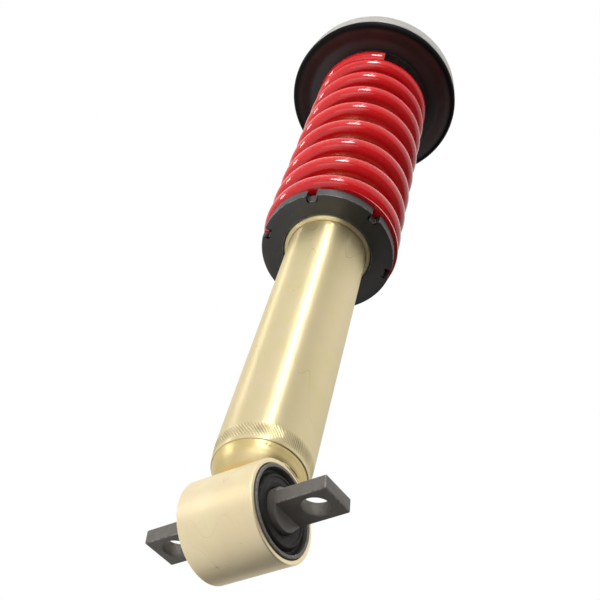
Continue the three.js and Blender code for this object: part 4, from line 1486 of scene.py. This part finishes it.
def make_stud(name, place, top):
    low, high = ends_of(name)
    head = low + HEAD_TALL
    line = [(7.5 * MM, low, 0.3), (HEAD_R, low + 0.5 * MM, 0.3), (HEAD_R, head, 0.2), (STUD_R, head, 0.0)]
    bare = MOUNT_HIGH + 1.5 * MM
    line += thread_rows(STUD_R, bare, high, STUD_PITCH)
    stud = turned(top, None, steel, columns=48,
                  reshape=end_thread_maker(STUD_R, 0.75 * MM, bare, high, STUD_PITCH, 0.9 * MM),
                  outline=[(0, low, 0.0), *line, (0, high, 0.0)])
    stud.data.transform(Matrix.Translation((*place, 0)))
    return stud


for i, place in enumerate(stud_places(), start=1):
    node = "mount_stud_%d" % i
    seat(make_stud(node, place, "top_stud_%d" % i), "strut_top", "bare_steel", node)

# %% [markdown]
# ## The rod and its nut
#
# The rod is ground and hard chromed, with a thinner threaded stem at its top. Above the mount
# the stem carries a rubber, a washer and a nut with chamfered corners. A hexagon is only a
# circle whose radius is cut short by six flats, so the same turning helper makes the nut.

# %% Grind the rod and cut its stem
ROD_LOW, ROD_TOP = ends_of("piston_rod")
STEM_R, STEM_PITCH = 6 * MM, 1.25 * MM
SHOULDER_Z = ends_of("mount_washer_lower")[0] - AIR
PISTON_TOP = ends_of("piston")[1] + AIR
THREAD_FROM = ends_of("mount_washer_upper")[1]


def make_rod():
    spigot, tip, foot, shoulder = 5 * MM, 0.6 * MM, 0.5 * MM, 0.8 * MM  # a radius and three chamfers
    line = [(0, ROD_LOW, 0.0), (spigot - tip, ROD_LOW, 0.0), (spigot, ROD_LOW + tip, 0.0),
            (spigot, PISTON_TOP, 0.0), (ROD_R - foot, PISTON_TOP, 0.0), (ROD_R, PISTON_TOP + foot, 0.0),
            (ROD_R, SHOULDER_Z - shoulder, 0.0), (ROD_R - shoulder, SHOULDER_Z, 0.5),
            (STEM_R, SHOULDER_Z, 0.0)]
    line += thread_rows(STEM_R, THREAD_FROM, ROD_TOP, STEM_PITCH)
    return turned("damper_rod", None, chrome, columns=72,
                  reshape=end_thread_maker(STEM_R, 0.65 * MM, THREAD_FROM, ROD_TOP, STEM_PITCH, 1.0 * MM),
                  outline=[*line, (0, ROD_TOP, 0.0)])


seat(make_rod(), "strut_top", "rod_chrome", "piston_rod")

# %% Stack the stem's rubber, washer and nut
RUBBER_LOW, RUBBER_HIGH = ends_of("stem_rubber_upper")
RUBBER_R, RUBBER_FACE_R, RUBBER_BORE_R = radius_of("stem_rubber_upper"), 18.6 * MM, 9.7 * MM
rubber_corners = [(RUBBER_BORE_R, RUBBER_LOW, 0.4 * MM), (RUBBER_FACE_R, RUBBER_LOW, 1.4 * MM),
                  (RUBBER_R, (RUBBER_LOW + RUBBER_HIGH) / 2, 4 * MM),
                  (RUBBER_FACE_R, RUBBER_HIGH, 1.4 * MM), (RUBBER_BORE_R, RUBBER_HIGH, 0.4 * MM)]
stem_rubber = turned("stem_rubber", rubber_corners, black_rubber, columns=128)
seat(stem_rubber, "strut_top", "rubber_black", "stem_rubber_upper")

TOP_LOW, TOP_HIGH = ends_of("mount_washer_upper")
top_corners = tube(TOP_LOW, TOP_HIGH, STEM_R + AIR, radius_of("mount_washer_upper"), 0.7 * MM)
top_washer = turned("stem_washer", top_corners, steel, columns=128)
seat(top_washer, "strut_top", "bare_steel", "mount_washer_upper")

STEM_NUT_LOW, STEM_NUT_HIGH = ends_of("rod_nut")
ACROSS_FLATS = 18 * MM
CORNER_R = ACROSS_FLATS / sqrt(3)


def hexagonal(turn, r, z):
    """The nearer of the turned surface and the six flats."""
    if r < STEM_R + 1.5 * MM:
        return r
    from_flat = (turn + pi / 6) % (pi / 3) - pi / 6
    return min(r, ACROSS_FLATS / 2 / cos(from_flat))


def nut_line():
    """The turned surface has a cone at each end, steep enough to take off only the corners."""
    drop = CORNER_R - ACROSS_FLATS / 2
    tall = 1.0 * MM
    bore = STEM_R + AIR
    low, high = STEM_NUT_LOW, STEM_NUT_HIGH
    side = [(ACROSS_FLATS / 2 - 0.3 * MM + (drop + 0.3 * MM) * k / 6, tall * k / 6) for k in range(7)]
    line = [(bore + 0.7 * MM, low, 0.0)] + [(r, low + h, 0.3) for r, h in side]
    line += [(r, high - h, 0.3) for r, h in reversed(side)]
    return line + [(bore + 0.7 * MM, high, 0.0), (bore, high - 0.7 * MM, 0.0), (bore, low + 0.7 * MM, 0.0)]


rod_nut = turned("stem_nut", None, steel, columns=144, reshape=hexagonal, outline=nut_line())
seat(rod_nut, "strut_top", "bare_steel", "rod_nut")

# %% [markdown]
# ## The hidden solids
#
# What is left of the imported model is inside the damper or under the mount's cup. These solids
# keep their shape and get the finish that each would have.

# %% Finish the carried-over solids
CARRIED = {
    iron: ("rod_guide", "piston"),
    steel: ("base_valve", "pressure_tube", "piston_nut", "mount_washer_lower", "mount_spacer"),
    black_rubber: ("rod_seal", "rebound_stop", "mount_rubber", "stem_rubber_lower"),
    band: ("piston_band", "bearing_ring"),
}
for material, names in CARRIED.items():
    for name in names:
        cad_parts[name].data.materials.clear()
        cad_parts[name].data.materials.append(material)
    print(material.name, "on", ", ".join(names))

# %% [markdown]
# ## The two boxes
#
# The looks mustn't make the part bigger than its solids. The box of the solids was kept at the
# start, and the box of what is now shown is printed beside it.

# %% Write the two boxes, and finish
shown_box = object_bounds()
for label, box in (("solids", cad_box), ("shown", shown_box)):
    print(label, ["%.2f" % (v / MM) for corner in box for v in corner])
